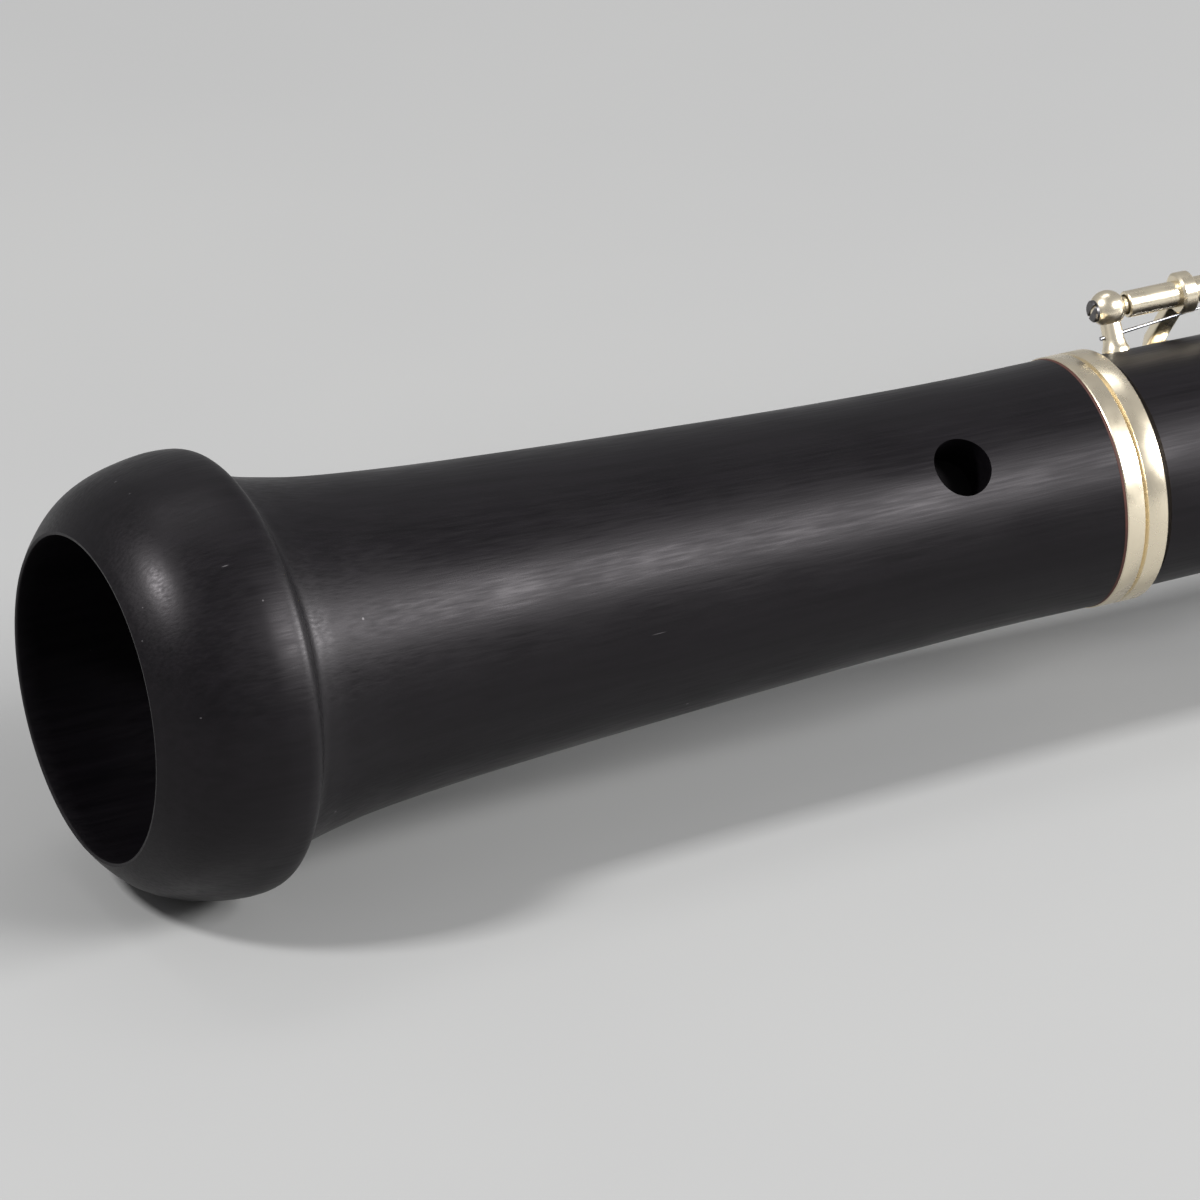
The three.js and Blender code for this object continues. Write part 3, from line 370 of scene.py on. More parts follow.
# ---- Bell ring ---------------------------------------------------------------------------------
# A ring of nickel silver, silver plated and polished, shrunk on the socket end of the bell to keep it
# from splitting: two flat bands with a narrow groove turned between them.
silver, tree, shader = new_material("silver_plate")  # bright plate, faintly warm, with hairline wear
place = object_place(tree)
wear = noise(tree, place, 350.0, 4.0)
tree.links.new(rescaled(tree, wear, 0.3, 0.7, 0.24, 0.33), shader.inputs["Roughness"])
tarnish = noise(tree, place, 70.0, 3.0)
tree.links.new(two_tone(tree, tarnish, "#efe2c6", "#fbf0d9"), shader.inputs["Base Color"])
shader.inputs["Metallic"].default_value = 1.0

RING_RADIUS = 16.5
RING_INSIDE = 14.8
GROOVE_STATION = 141.75
GROOVE_HALF = 0.3
start = RING_SHOULDER + 0.25
bell_ring = [
    (start, RING_INSIDE), (start, RING_RADIUS - 0.12), (start + 0.12, RING_RADIUS),
    (GROOVE_STATION - GROOVE_HALF - 0.05, RING_RADIUS), (GROOVE_STATION - GROOVE_HALF, RING_RADIUS - 0.03),
    (GROOVE_STATION, RING_RADIUS - 0.8),
    (GROOVE_STATION + GROOVE_HALF, RING_RADIUS - 0.03), (GROOVE_STATION + GROOVE_HALF + 0.05, RING_RADIUS),
    (BELL_LENGTH - 0.15, RING_RADIUS), (BELL_LENGTH, RING_RADIUS - 0.15), (BELL_LENGTH, RING_INSIDE),
    (start, RING_INSIDE),
]
ring = turned("bell_ring", bell_ring, WOOD_SIDES)
finished(put(ring, BORE), silver, "bell", ["bell_socket_ring"])

# The end grain of the wood shows as a thin red-brown line beside the ring.
end_grain, tree, shader = new_material("end_grain")  # raw red-brown end grain, mottled with polish
rings = noise(tree, object_place(tree), 400.0, 3.0)
tree.links.new(two_tone(tree, rings, "#2b1512", "#5e3328"), shader.inputs["Base Color"])
shader.inputs["Roughness"].default_value = 0.6
SEAM_RADIUS = 16.34
seam_start, seam_end = RING_SHOULDER - 0.1, RING_SHOULDER + 0.27
seam = [
    (seam_start, 14.9), (seam_start, SEAM_RADIUS - 0.05), (RING_SHOULDER, SEAM_RADIUS),
    (seam_end, SEAM_RADIUS), (seam_end, 14.9), (seam_start, 14.9),
]
finished(put(turned("ring_seam", seam, WOOD_SIDES), BORE), end_grain, "bell")

# ---- Lower joint -------------------------------------------------------------------------------
# The lower joint is turned and bored like the bell. Each tone hole has a raised seat in a flat
# pocket, milled so that its pad closes on a level edge. A tenon at its foot plugs into the bell.
LOWER_LENGTH = 240
UPPER_LENGTH = 225
LOWER_START = BELL_LENGTH
UPPER_START = LOWER_START + LOWER_LENGTH
CROWN_TOP = UPPER_START + UPPER_LENGTH
PAD_THICKNESS = 1.8
PLATE_OVERHANG = 1.5
SEAT_GAP = 0.15  # between a closed pad and its seat
GLUE = 0.12  # shellac between a pad and its cup
CUP_MARGIN = 0.67  # from the edge of a pad to the outside of its cup
POCKET_MARGIN = 0.7  # from the outside of a cup to the edge of its pocket
CUP_ROOF = 0.9


def on_lower(share):
    """A station on the lower joint as a share of its length."""
    return LOWER_START + share * LOWER_LENGTH


def on_upper(share):
    """A station on the upper joint as a share of its length."""
    return UPPER_START + share * UPPER_LENGTH


def radius_at(outside, x):
    """The radius of the wood at a station."""
    for (x0, r0), (x1, r1) in zip(outside, outside[1:]):
        if x <= x1:
            return r0 if x <= x0 else r0 + (r1 - r0) * (x - x0) / (x1 - x0)
    return outside[-1][1]


def tone_hole(outside, x, angle, bore, pad, plate=0):
    """A tone hole's place, bore and pad, and the heights of its seat, of the cup's ceiling and roof."""
    cup = pad + CUP_MARGIN
    pocket = cup + POCKET_MARGIN
    smallest = min(radius_at(outside, at) for at in (x - pocket, x, x + pocket))
    seat = sqrt(smallest**2 - pocket**2) - 0.05
    ceiling = seat + SEAT_GAP + PAD_THICKNESS + GLUE
    return SimpleNamespace(
        x=x, angle=angle, bore=bore, pad=pad, plate=plate, cup=cup, pocket=pocket,
        seat=seat, ceiling=ceiling, roof=ceiling + CUP_ROOF,
    )


def drill_hole(wood, hole):
    """Mills the pocket round a raised seat and drills the bore."""
    far = hole.seat + 2 * hole.pocket
    floor = hole.seat - 0.9
    ledge = hole.ceiling - 0.6
    wide = hole.pocket + hole.plate
    edge = hole.bore + 1.2
    outline = [
        (hole.seat, hole.bore), (hole.seat, edge - 0.5), (hole.seat - 0.15, edge - 0.1),
        (floor, edge + 0.2), (floor, hole.pocket), (ledge, hole.pocket), (ledge, wide), (far, wide),
        (far, 0), (1, 0), (1, hole.bore), (hole.seat, hole.bore),
    ]
    carve(wood, turned("mill", outline, 56, outwards(hole.x, hole.angle)))


SHOULDER_GAP = 0.3  # between a socket's rim and the shoulder that meets it
TENON_LENGTH = 18.5
CORK_START = 2.75  # from the end of a tenon to its cork
CORK_WIDTH = 13
CHANNEL_DEPTH = 0.9


def tenon(shoulder, radius):
    """The stepped outline of a tenon with the channel for its cork."""
    end = shoulder - TENON_LENGTH
    start = end + CORK_START - 0.3
    stop = start + CORK_WIDTH + 0.6
    floor = radius - CHANNEL_DEPTH
    return [
        (end, radius - 0.3), (end + 0.3, radius), (start, radius), (start, floor), (stop, floor),
        (stop, radius), (shoulder, radius),
    ]


SOCKET_RING_DEPTH = 5
LOWER_OUTSIDE = [
    (LOWER_START, 15.4), (on_lower(0.08), 15.1), (on_lower(0.25), 13.7), (on_lower(0.4), 13.2),
    (on_lower(0.88), 13.2), (on_lower(0.93), 14.7), (UPPER_START - SOCKET_RING_DEPTH, 15.2),
]
holes = {
    "low_b_flat": tone_hole(LOWER_OUTSIDE, on_lower(0.068), 80, 4.2, 5.6),
    "low_b": tone_hole(LOWER_OUTSIDE, on_lower(0.235), -104, 4.0, 5.4),
    "low_c": tone_hole(LOWER_OUTSIDE, on_lower(0.41), 78, 3.8, 5.2),
    "e_flat": tone_hole(LOWER_OUTSIDE, on_lower(0.395), 0, 3.2, 4.4),
    "d": tone_hole(LOWER_OUTSIDE, on_lower(0.66), 0, 3.2, 4.8, PLATE_OVERHANG),
    "e": tone_hole(LOWER_OUTSIDE, on_lower(0.775), 0, 3.0, 4.6, PLATE_OVERHANG),
    "f_sharp": tone_hole(LOWER_OUTSIDE, on_lower(0.885), 0, 2.8, 4.4, PLATE_OVERHANG),
}
UPPER_SOCKET_DEPTH = 20
shoulder = LOWER_START + SHOULDER_GAP
tenon_end = shoulder - TENON_LENGTH
lower_outline = tenon(shoulder, 11.6)
lower_outline += [(shoulder, 14.3), (shoulder + 0.55, 14.9), (shoulder + 0.85, 15.3)] + LOWER_OUTSIDE[1:]
lower_outline += [
    (UPPER_START - SOCKET_RING_DEPTH, 13.4), (UPPER_START, 13.4), (UPPER_START, 9.9),
    (UPPER_START - UPPER_SOCKET_DEPTH, 9.9), (UPPER_START - UPPER_SOCKET_DEPTH, 4.7),
    (tenon_end, 8.2), (tenon_end, 11.3),
]
lower_joint = turned("lower_joint", lower_outline, WOOD_SIDES)
for hole in holes.values():
    drill_hole(lower_joint, hole)
finished(put(lower_joint, BORE), black_wood, "lower_joint", ["lower_joint_body"])

# ---- Socket ring and crown ring ----------------------------------------------------------------
# Two more plated rings: a plain one at the head of the lower joint, and a cap at the top of the
# upper joint that also covers the end of the wood round the reed well.
start = UPPER_START - SOCKET_RING_DEPTH + 0.3
socket_ring = [
    (start, 13.7), (start, 15.2), (start + 0.9, 15.65), (UPPER_START - 0.9, 15.65),
    (UPPER_START, 15.2), (UPPER_START, 13.7), (start, 13.7),
]
ring = soften(turned("socket_ring", socket_ring, WOOD_SIDES), 0.15, 3, 20)
finished(put(ring, BORE), silver, "lower_joint", ["lower_socket_ring"])
CROWN_DEPTH = 7
start = CROWN_TOP - CROWN_DEPTH + 0.3
crown = [
    (start, 11.9), (start, 13.4), (start + 1.4, 13.75), (CROWN_TOP - 3.2, 13.2), (CROWN_TOP - 1.2, 13.7),
    (CROWN_TOP - 0.4, 13.5), (CROWN_TOP, 12.9), (CROWN_TOP, 4.6), (CROWN_TOP - 1.5, 4.6),
    (CROWN_TOP - 1.5, 11.9), (start, 11.9),
]
ring = soften(turned("crown_ring", crown, WOOD_SIDES), 0.12, 2, 20)
finished(put(ring, BORE), silver, "upper_joint", ["crown_ring"])

# ---- Upper joint -------------------------------------------------------------------------------
# The upper joint carries the left hand's holes and ends in the well that the reed plugs into.
WELL_DEPTH = 22
WELL_FLOOR = CROWN_TOP - WELL_DEPTH
UPPER_OUTSIDE = [
    (UPPER_START + SHOULDER_GAP, 12.8), (on_upper(0.08), 12.4), (on_upper(0.16), 11.8),
    (on_upper(0.86), 11.8), (on_upper(0.93), 12.3), (CROWN_TOP - CROWN_DEPTH, 12.9),
]
upper_holes = {
    "g": tone_hole(UPPER_OUTSIDE, on_upper(0.185), 0, 2.6, 4.2, PLATE_OVERHANG),
    "g_sharp": tone_hole(UPPER_OUTSIDE, on_upper(0.265), -22, 2.0, 3.2),
    "a": tone_hole(UPPER_OUTSIDE, on_upper(0.345), 0, 2.4, 4.0, PLATE_OVERHANG),
    "half_hole": tone_hole(UPPER_OUTSIDE, on_upper(0.57), 0, 2.0, 3.8, PLATE_OVERHANG),
    "trill": tone_hole(UPPER_OUTSIDE, on_upper(0.7), 118, 1.8, 3.0),
    "thumb_octave": tone_hole(UPPER_OUTSIDE, on_upper(0.775), 180, 0.8, 2.4),
    "side_octave": tone_hole(UPPER_OUTSIDE, on_upper(0.81), -92, 0.8, 2.4),
}
shoulder = UPPER_START + SHOULDER_GAP
tenon_end = shoulder - TENON_LENGTH
upper_outline = tenon(shoulder, 8.7) + [(shoulder, 12.6), (shoulder + 0.2, 12.8)] + UPPER_OUTSIDE[1:]
upper_outline += [
    (CROWN_TOP - CROWN_DEPTH, 11.6), (CROWN_TOP - 1.8, 11.6), (CROWN_TOP - 1.8, 3.6),
    (WELL_FLOOR, 3.6), (WELL_FLOOR, 2.3), (tenon_end, 4.7), (tenon_end, 8.4),
]
upper_joint = turned("upper_joint", upper_outline, WOOD_SIDES)
for hole in upper_holes.values():
    drill_hole(upper_joint, hole)
finished(put(upper_joint, BORE), black_wood, "upper_joint", ["upper_joint_body"])
holes.update(upper_holes)

# ---- Tenon corks -------------------------------------------------------------------------------
# Strips of sheet cork glued round each tenon in a turned channel and sanded to a push fit.
cork, tree, shader = new_material("sheet_cork")  # tan cork with dark grain flecks and open cells
place = object_place(tree)
flecks = noise(tree, place, 700.0, 6.0)
tree.links.new(two_tone(tree, flecks, "#6b4426", "#c79a68", 0.34, 0.5), shader.inputs["Base Color"])
shader.inputs["Roughness"].default_value = 0.85
cells = add_node(tree, "ShaderNodeTexVoronoi", {"Vector": place, "Scale": 900.0})
roughened(tree, shader, cells.outputs["Distance"], 0.5, 0.0001)


def cork_band(name, start, length, inside, outside):
    """A band of cork with its edges rounded by the sandpaper."""
    end = start + length
    outline = [
        (start, inside), (start, outside - 0.25), (start + 0.3, outside), (end - 0.3, outside),
        (end, outside - 0.25), (end, inside), (start, inside),
    ]
    return turned(name, outline, 96)


to_cork = SHOULDER_GAP - TENON_LENGTH + CORK_START
band = cork_band("lower_cork", LOWER_START + to_cork, CORK_WIDTH, 11.0, 12.5)
finished(put(band, BORE), cork, "lower_joint", ["lower_tenon_cork"])
band = cork_band("upper_cork", UPPER_START + to_cork, CORK_WIDTH, 8.1, 9.6)
finished(put(band, BORE), cork, "upper_joint", ["upper_tenon_cork"])

# ---- Rods and posts ----------------------------------------------------------------------------
# Steel rods run through turned posts of plated nickel silver. A post has a flared foot on the wood,
# a neck and a ball, and the rod's slotted screw head shows in the ball at one end.
ROD_RADIUS = 1.1
BALL_RADIUS = 2.4
ROD_HEIGHT = 5.6


def on_circle(radius, angle):
    """A point of the cross-section, (y, z), at a radius and an angle from the front."""
    return radius * sin(radians(angle)), radius * cos(radians(angle))


def post(x, angle, foot, centre):
    """One post, standing outwards from the wood to the rod."""
    turns = [radians(t) for t in range(-56, 90, 9)]
    ball = [(centre + BALL_RADIUS * sin(t), BALL_RADIUS * cos(t)) for t in turns]
    neck = ball[0][0]
    outline = [
        (foot - 0.3, 0), (foot - 0.3, 1.85), (foot + 0.25, 1.82), (foot + 0.5, 1.7), (foot + 0.9, 1.55),
        (foot + 1.6, 1.42), (neck - 0.4, 1.38), *ball, (centre + BALL_RADIUS, 0),
    ]
    return turned("post", outline, 48, outwards(x, angle))


dark_steel, tree, shader = new_material("dark_steel")  # blackened steel screw, rubbed bright in places
rub = noise(tree, object_place(tree), 1500.0, 3.0)
tree.links.new(two_tone(tree, rub, "#4a484a", "#7d7b7c"), shader.inputs["Base Color"])
shader.inputs["Metallic"].default_value = 1.0
shader.inputs["Roughness"].default_value = 0.35


def screw_head(x, centre):
    """A slotted head sunk in the bell side of a ball."""
    head = turned("screw", [(-2.45, 0), (-2.45, 1.25), (-2.25, 1.45), (-1.5, 1.45), (-1.5, 0)], 40)
    bpy.ops.object.select_all(action="DESELECT")
    bpy.ops.mesh.primitive_cube_add(size=1, location=(-2.45, 0, 0), rotation=(radians(35), 0, 0))
    slot = bpy.context.object
    slot.scale = (0.7, 0.42, 4)
    bpy.ops.object.transform_apply(location=True, rotation=True, scale=True)
    return put(carve(head, slot), Matrix.Translation((x, *centre)))


def hinge_rod(name, body, outside, angle, posts, splits=()):
    """A rod with its posts and screw head, tied to the node of the same name."""
    radius = max(radius_at(outside, x) for x in posts) + ROD_HEIGHT
    centre = on_circle(radius, angle)
    parts = [post(x, angle, radius_at(outside, x), radius) for x in posts]
    axle = [(posts[0], 0), (posts[0], ROD_RADIUS), (posts[-1], ROD_RADIUS), (posts[-1], 0)]
    parts.append(turned("axle", axle, 32, Matrix.Translation((0, *centre))))
    finished(put(screw_head(posts[0], centre), BORE), dark_steel, body)
    finished(put(joined(name, parts), BORE), silver, body, [name])
    return SimpleNamespace(
        angle=angle, radius=radius, centre=centre, posts=posts, splits=splits, outside=outside, body=body
    )


LINK_STATION = on_lower(0.315)


def lower_rod(name, angle, shares, splits=()):
    """A rod on the lower joint, with its posts at shares of the joint's length."""
    posts = [on_lower(share) for share in shares]
    return hinge_rod(name, "lower_joint", LOWER_OUTSIDE, angle, posts, splits)


def upper_rod(name, angle, shares, splits=()):
    """A rod on the upper joint, with its posts at shares of the joint's length."""
    posts = [on_upper(share) for share in shares]
    return hinge_rod(name, "upper_joint", UPPER_OUTSIDE, angle, posts, splits)


def between(first, second):
    """The station where the tubes of two neighbouring keys meet."""
    return (holes[first].x + holes[second].x) / 2


low_note_rod = lower_rod("low_note_rod", 26, [0.0213, 0.335, 0.59])
lever_posts = [LINK_STATION - 8, on_lower(0.95)]
lever_rod = hinge_rod("b_flat_lever_rod", "lower_joint", LOWER_OUTSIDE, -36, lever_posts)
low_b_rod = lower_rod("low_b_rod", -64, [0.19, 0.8])
right_hand_splits = [between("d", "e"), between("e", "f_sharp")]
right_hand_rod = lower_rod("right_hand_rod", 50, [0.615, 0.935], right_hand_splits)
left_hand_rod = upper_rod("left_hand_rod", 50, [0.135, 0.4], [between("g", "a")])
half_hole_rod = upper_rod("half_hole_rod", 50, [0.52, 0.64])
g_sharp_rod = upper_rod("g_sharp_rod", -62, [0.12, 0.31])
trill_rod = upper_rod("trill_rod", 78, [0.055, 0.745])
octave_rod = upper_rod("side_octave_rod", -54, [0.6, 0.85])

# ---- Keys on rods ------------------------------------------------------------------------------
# Each key is soldered up from drawn tube, a collar, flat arms and a spun cup or finger plate, then
# plated. It turns on its rod; a skin-covered felt pad is glued in the cup and closes the tone hole.
TUBE_RADIUS = 1.75
TUBE_BORE = 1.35
ARM_WIDTH = 2.8
ARM_THICKNESS = 1.5
TOUCH_THICKNESS = 1.3
TOUCH_HEIGHT = 5.6
END_PLAY = 0.3  # between a tube and the post beside it
joints = {joint["name"]: joint for joint in frame["joints"]}

pad_skin, tree, shader = new_material("pad_skin")  # cream fish skin over felt, slightly translucent
crinkle = noise(tree, object_place(tree), 1200.0, 5.0)
tree.links.new(two_tone(tree, crinkle, "#cdbf9f", "#e9dfc8"), shader.inputs["Base Color"])
shader.inputs["Roughness"].default_value = 0.5
roughened(tree, shader, crinkle, 0.3, 0.00005)


def ribbon(name, points, across, thickness, edge=0.35):
    """A flat bar drawn through points, as wide as the vector across, with its edges rounded."""
    start = [tuple(p[i] - across[i] / 2 for i in range(3)) for p in points]
    piece = start_point(name, start[0])
    draw_on(start)
    bpy.ops.mesh.select_all(action="SELECT")
    bpy.ops.mesh.extrude_region_move(TRANSFORM_OT_translate={"value": across})
    bpy.ops.mesh.select_all(action="SELECT")
    bpy.ops.mesh.normals_make_consistent(inside=False)
    bpy.ops.object.mode_set(mode="OBJECT")
    modify(piece, "SOLIDIFY", thickness=thickness, offset=0, use_even_offset=True)
    return soften(piece, edge, 3, 50)


def arm(points, x, thickness=ARM_THICKNESS, width=ARM_WIDTH):
    """A bar through points of the cross-section, (y, z), at one station."""
    return ribbon("arm", [(x, y, z) for y, z in points], (width, 0, 0), thickness)


def in_frame(angle, across, height):
    """A point of the cross-section given across and outwards from a place at an angle."""
    a = radians(angle)
    return height * sin(a) + across * cos(a), height * cos(a) - across * sin(a)


def cup_outline(hole):
    """A domed cup, or a dished finger plate with a rolled edge."""
    rim = hole.ceiling - 1.12
    brim = hole.cup + hole.plate
    inner = [(hole.ceiling, 0), (hole.ceiling, hole.cup - 0.55), (rim, hole.cup - 0.55), (rim, hole.cup)]
    if hole.plate:
        return inner + [
            (hole.ceiling, hole.cup), (hole.ceiling, brim - 0.2), (hole.ceiling + 0.3, brim),
            (hole.roof - 0.35, brim), (hole.roof, brim - 0.45), (hole.roof, brim - 1.1),
            (hole.roof - 0.3, 0.55 * brim), (hole.roof - 0.4, 0),
        ]
    return inner + [
        (hole.ceiling - 0.1, hole.cup), (hole.roof - 0.42, hole.cup - 0.1),
        (hole.roof - 0.12, 0.9 * hole.cup), (hole.roof, 0.7 * hole.cup),
        (hole.roof + 0.12, 0.35 * hole.cup), (hole.roof + 0.15, 0),
    ]


def pad_disc(name, hole, matrix):
    """A pad with its edge rounded by the skin stretched over it."""
    bottom = hole.seat + SEAT_GAP
    top = bottom + PAD_THICKNESS
    outline = [
        (bottom, 0), (bottom, hole.pad - 0.35), (bottom + 0.12, hole.pad - 0.1), (bottom + 0.4, hole.pad),
        (top, hole.pad), (top, 0),
    ]
    return turned(name + "_felt", outline, 64, matrix)


def touch_plate(length, width, bottom, thickness, matrix):
    """An oval finger touch, dished on top and rounded at the edge."""
    half = length / 2
    top = bottom + thickness
    outline = [
        (bottom, 0), (bottom, half - 0.5), (bottom + 0.3, half - 0.1), (top - 0.4, half),
        (top - 0.1, half - 0.3), (top, half - 0.8), (top - 0.2, 0.6 * half), (top - 0.3, 0),
    ]
    return turned("touch", outline, 64, matrix @ Matrix.Diagonal((1, width / length, 1, 1)))


def touch(rod, x, angle, length, width):
    """A finger touch on its own arm from the rod."""
    radius = radius_at(rod.outside, x) + TOUCH_HEIGHT
    plate = touch_plate(length, width, radius - TOUCH_THICKNESS / 2, TOUCH_THICKNESS, outwards(x, angle))
    return [arm([rod.centre, on_circle(radius, angle)], x, TOUCH_THICKNESS), plate]


def cup_parts(rod, hole):
    """The collar, the arm and the cup of one hole."""
    side = 1 if rod.angle > hole.angle else -1
    over = hole.roof + 0.1
    bend = in_frame(hole.angle, side * (hole.cup + 0.3), over)
    path = [rod.centre, bend, in_frame(hole.angle, -side * 0.5, over)]
    if hole.plate:
        path = [rod.centre, in_frame(hole.angle, side * (hole.cup + 0.2), hole.roof - 0.45)]
    collar = [(-1.1, 0), (-1.1, 2.4), (-0.8, 2.75), (0.8, 2.75), (1.1, 2.4), (1.1, 0)]
    return [
        turned("cup", cup_outline(hole), 64, outwards(hole.x, hole.angle)),
        turned("collar", collar, 48, Matrix.Translation((hole.x, *rod.centre))),
        arm(path, hole.x),
    ]


def rod_key(name, rod, open_at_rest=False, extras=(), at=None):
    """A key on its rod as it stands at rest, and its pad."""
    hole = holes.get(name)
    low, high = joints[name + "_hinge"]["range_deg"]
    rest = radians(-(low + high)) if open_at_rest else 0
    station = at or hole.x
    stops = [(x, BALL_RADIUS + END_PLAY) for x in rod.posts] + [(x, END_PLAY / 2) for x in rod.splits]
    before = max((s for s in stops if s[0] <= station), key=lambda s: s[0])
    after = min((s for s in stops if s[0] > station), key=lambda s: s[0])
    x0, x1 = before[0] + before[1], after[0] - after[1]
    wall = [
        (x0, TUBE_BORE), (x0, TUBE_RADIUS - 0.12), (x0 + 0.12, TUBE_RADIUS), (x1 - 0.12, TUBE_RADIUS),
        (x1, TUBE_RADIUS - 0.12), (x1, TUBE_BORE), (x0, TUBE_BORE),
    ]
    parts = [turned("tube", wall, 40, Matrix.Translation((0, *rod.centre)))]
    if hole:
        parts += cup_parts(rod, hole)
    to_rod = Matrix.Translation((0, *rod.centre))
    swing = to_rod @ Matrix.Rotation(rest, 4, "X") @ to_rod.inverted()
    key = put(joined(name + "_metal", parts + list(extras)), BORE @ swing)
    finished(key, silver, name + "_key_body", [name + "_key"])
    if hole:
        pad = pad_disc(name, hole, outwards(hole.x, hole.angle))
        finished(put(pad, BORE @ swing), pad_skin, name + "_key_body", [name + "_pad"])


LINK_THICKNESS = 1.3
TAIL_REACH = 1.6  # how far the low key's tail passes the middle line
tail_height = low_note_rod.centre[1] + 1.2
tail = arm([low_note_rod.centre, (-TAIL_REACH, tail_height)], LINK_STATION, LINK_THICKNESS)
rod_key("low_b_flat", low_note_rod, True, [tail])
low_c_touch = touch(low_note_rod, on_lower(0.59) - BALL_RADIUS - END_PLAY - ARM_WIDTH, 52, 15, 8)
rod_key("low_c", low_note_rod, True, low_c_touch)
rod_key("low_b", low_b_rod, True, touch(low_b_rod, on_lower(0.75), -92, 16, 8))
for name in ("d", "e", "f_sharp"):
    rod_key(name, right_hand_rod, True)

b_flat_lift = radians(sum(abs(v) for v in joints["low_b_flat_hinge"]["range_deg"]))
drop = (low_note_rod.centre[0] + TAIL_REACH) * sin(b_flat_lift)
lever_end = (TAIL_REACH, tail_height - drop - 1.65)
lever_arm = arm([lever_rod.centre, lever_end], LINK_STATION, LINK_THICKNESS)
lever_touch = touch(lever_rod, on_lower(0.895), -66, 15, 8)
rod_key("b_flat_lever", lever_rod, False, [lever_arm, *lever_touch], at=LINK_STATION)

for name, rod in (("g", left_hand_rod), ("a", left_hand_rod), ("half_hole", half_hole_rod)):
    rod_key(name, rod, True)
rod_key("g_sharp", g_sharp_rod, False, touch(g_sharp_rod, on_upper(0.165), -90, 13, 7))
rod_key("trill", trill_rod, False, touch(trill_rod, on_upper(0.085), 52, 12, 6))
rod_key("side_octave", octave_rod, False, touch(octave_rod, on_upper(0.64), -27, 13, 7))

# ---- Rocking keys ------------------------------------------------------------------------------
# The E flat key and the thumb's octave key rock across the bore on a pin held in a small saddle
# screwed to the wood. One end is a touch, the other a sprung-shut cup.
SADDLE_HEIGHT = 5
EAR_SPREAD = 2.9
PIN_RADIUS = 0.8


def block(name, size, centre, edge=0.2):
    """A small rectangular block with rounded edges."""
    bpy.ops.object.select_all(action="DESELECT")
    bpy.ops.mesh.primitive_cube_add(size=1, location=centre)
    piece = bpy.context.object
    piece.name = name
    piece.scale = size
    bpy.ops.object.transform_apply(location=True, rotation=True, scale=True)
    return soften(piece, edge, 3)


def rocking_key(name, body, outside, pivot_x, touch_x, touch_angle):
    """A saddle with its pin, the lever on it and its pad."""
    hole = holes[name]
    pivot = max(radius_at(outside, pivot_x), radius_at(outside, hole.x)) + SADDLE_HEIGHT
    upright = Matrix.Rotation(radians(90 - hole.angle), 4, "X")
    stand = BORE @ Matrix.Translation((pivot_x, *on_circle(pivot, hole.angle))) @ upright
    across = Matrix.Rotation(radians(90), 4, "Y")
    foot = radius_at(outside, pivot_x) - pivot
    saddle = [block("saddle", (4, 0.8, 2 * EAR_SPREAD), (0, foot + 0.4, 0))]
    for side in (-1, 1):
        face = side * EAR_SPREAD
        head = [(face, 0), (face, 1.1), (face + 0.25 * side, 0.9), (face + 0.3 * side, 0)]
        saddle.append(block("ear", (3, 1.3 - foot, 0.9), (0, (foot + 1.3) / 2, face - 0.45 * side), 0.3))
        saddle.append(turned("pin_head", head, 32, across))
    pin = [(-EAR_SPREAD, 0), (-EAR_SPREAD, PIN_RADIUS), (EAR_SPREAD, PIN_RADIUS), (EAR_SPREAD, 0)]
    saddle.append(turned("pin", pin, 32, across))
    finished(put(joined(name + "_seat", saddle), stand), silver, body, [name + "_saddle"])
    side = 1 if touch_x > pivot_x else -1
    pad_x = hole.x - pivot_x
    reach = touch_x - pivot_x
    roof = hole.roof - pivot
    bar = [
        (pad_x, roof + 0.45, 0), (pad_x + side * 3, roof + 0.5, 0), (-side * 2, 0.2, 0),
        (side * 2, 0.3, 0), (reach, 1.5, 0),
    ]
    barrel = [(-1.7, 0.85), (-1.7, 1.6), (1.7, 1.6), (1.7, 0.85), (-1.7, 0.85)]
    swing = radians(touch_angle - hole.angle) * pivot
    quarter = Matrix.Rotation(radians(90), 4, "Z")
    to_cup = Matrix.Translation((pad_x, -pivot, 0)) @ quarter
    to_touch = Matrix.Translation((reach, 0, -swing)) @ quarter
    parts = [
        ribbon("lever", bar, (0, 0, 3), 1.2),
        turned("cup", cup_outline(hole), 64, to_cup),
        turned("barrel", barrel, 32, across),
        put(touch_plate(8, 13, 0.9, TOUCH_THICKNESS, Matrix.Identity(4)), to_touch),
    ]
    key = put(joined(name + "_metal", parts), stand)
    finished(key, silver, name + "_key_body", [name + "_key"])
    bottom = hole.seat + SEAT_GAP
    top = bottom + PAD_THICKNESS
    outline = [(bottom, 0), (bottom, hole.pad - 0.3), (bottom + 0.3, hole.pad), (top, hole.pad), (top, 0)]
    pad = put(turned(name + "_felt", outline, 64, to_cup), stand)
    finished(pad, pad_skin, name + "_key_body", [name + "_pad"])


rocking_key("e_flat", "lower_joint", LOWER_OUTSIDE, on_lower(0.49), on_lower(0.56), -5)
rocking_key("thumb_octave", "upper_joint", UPPER_OUTSIDE, on_upper(0.735), on_upper(0.665), 180)

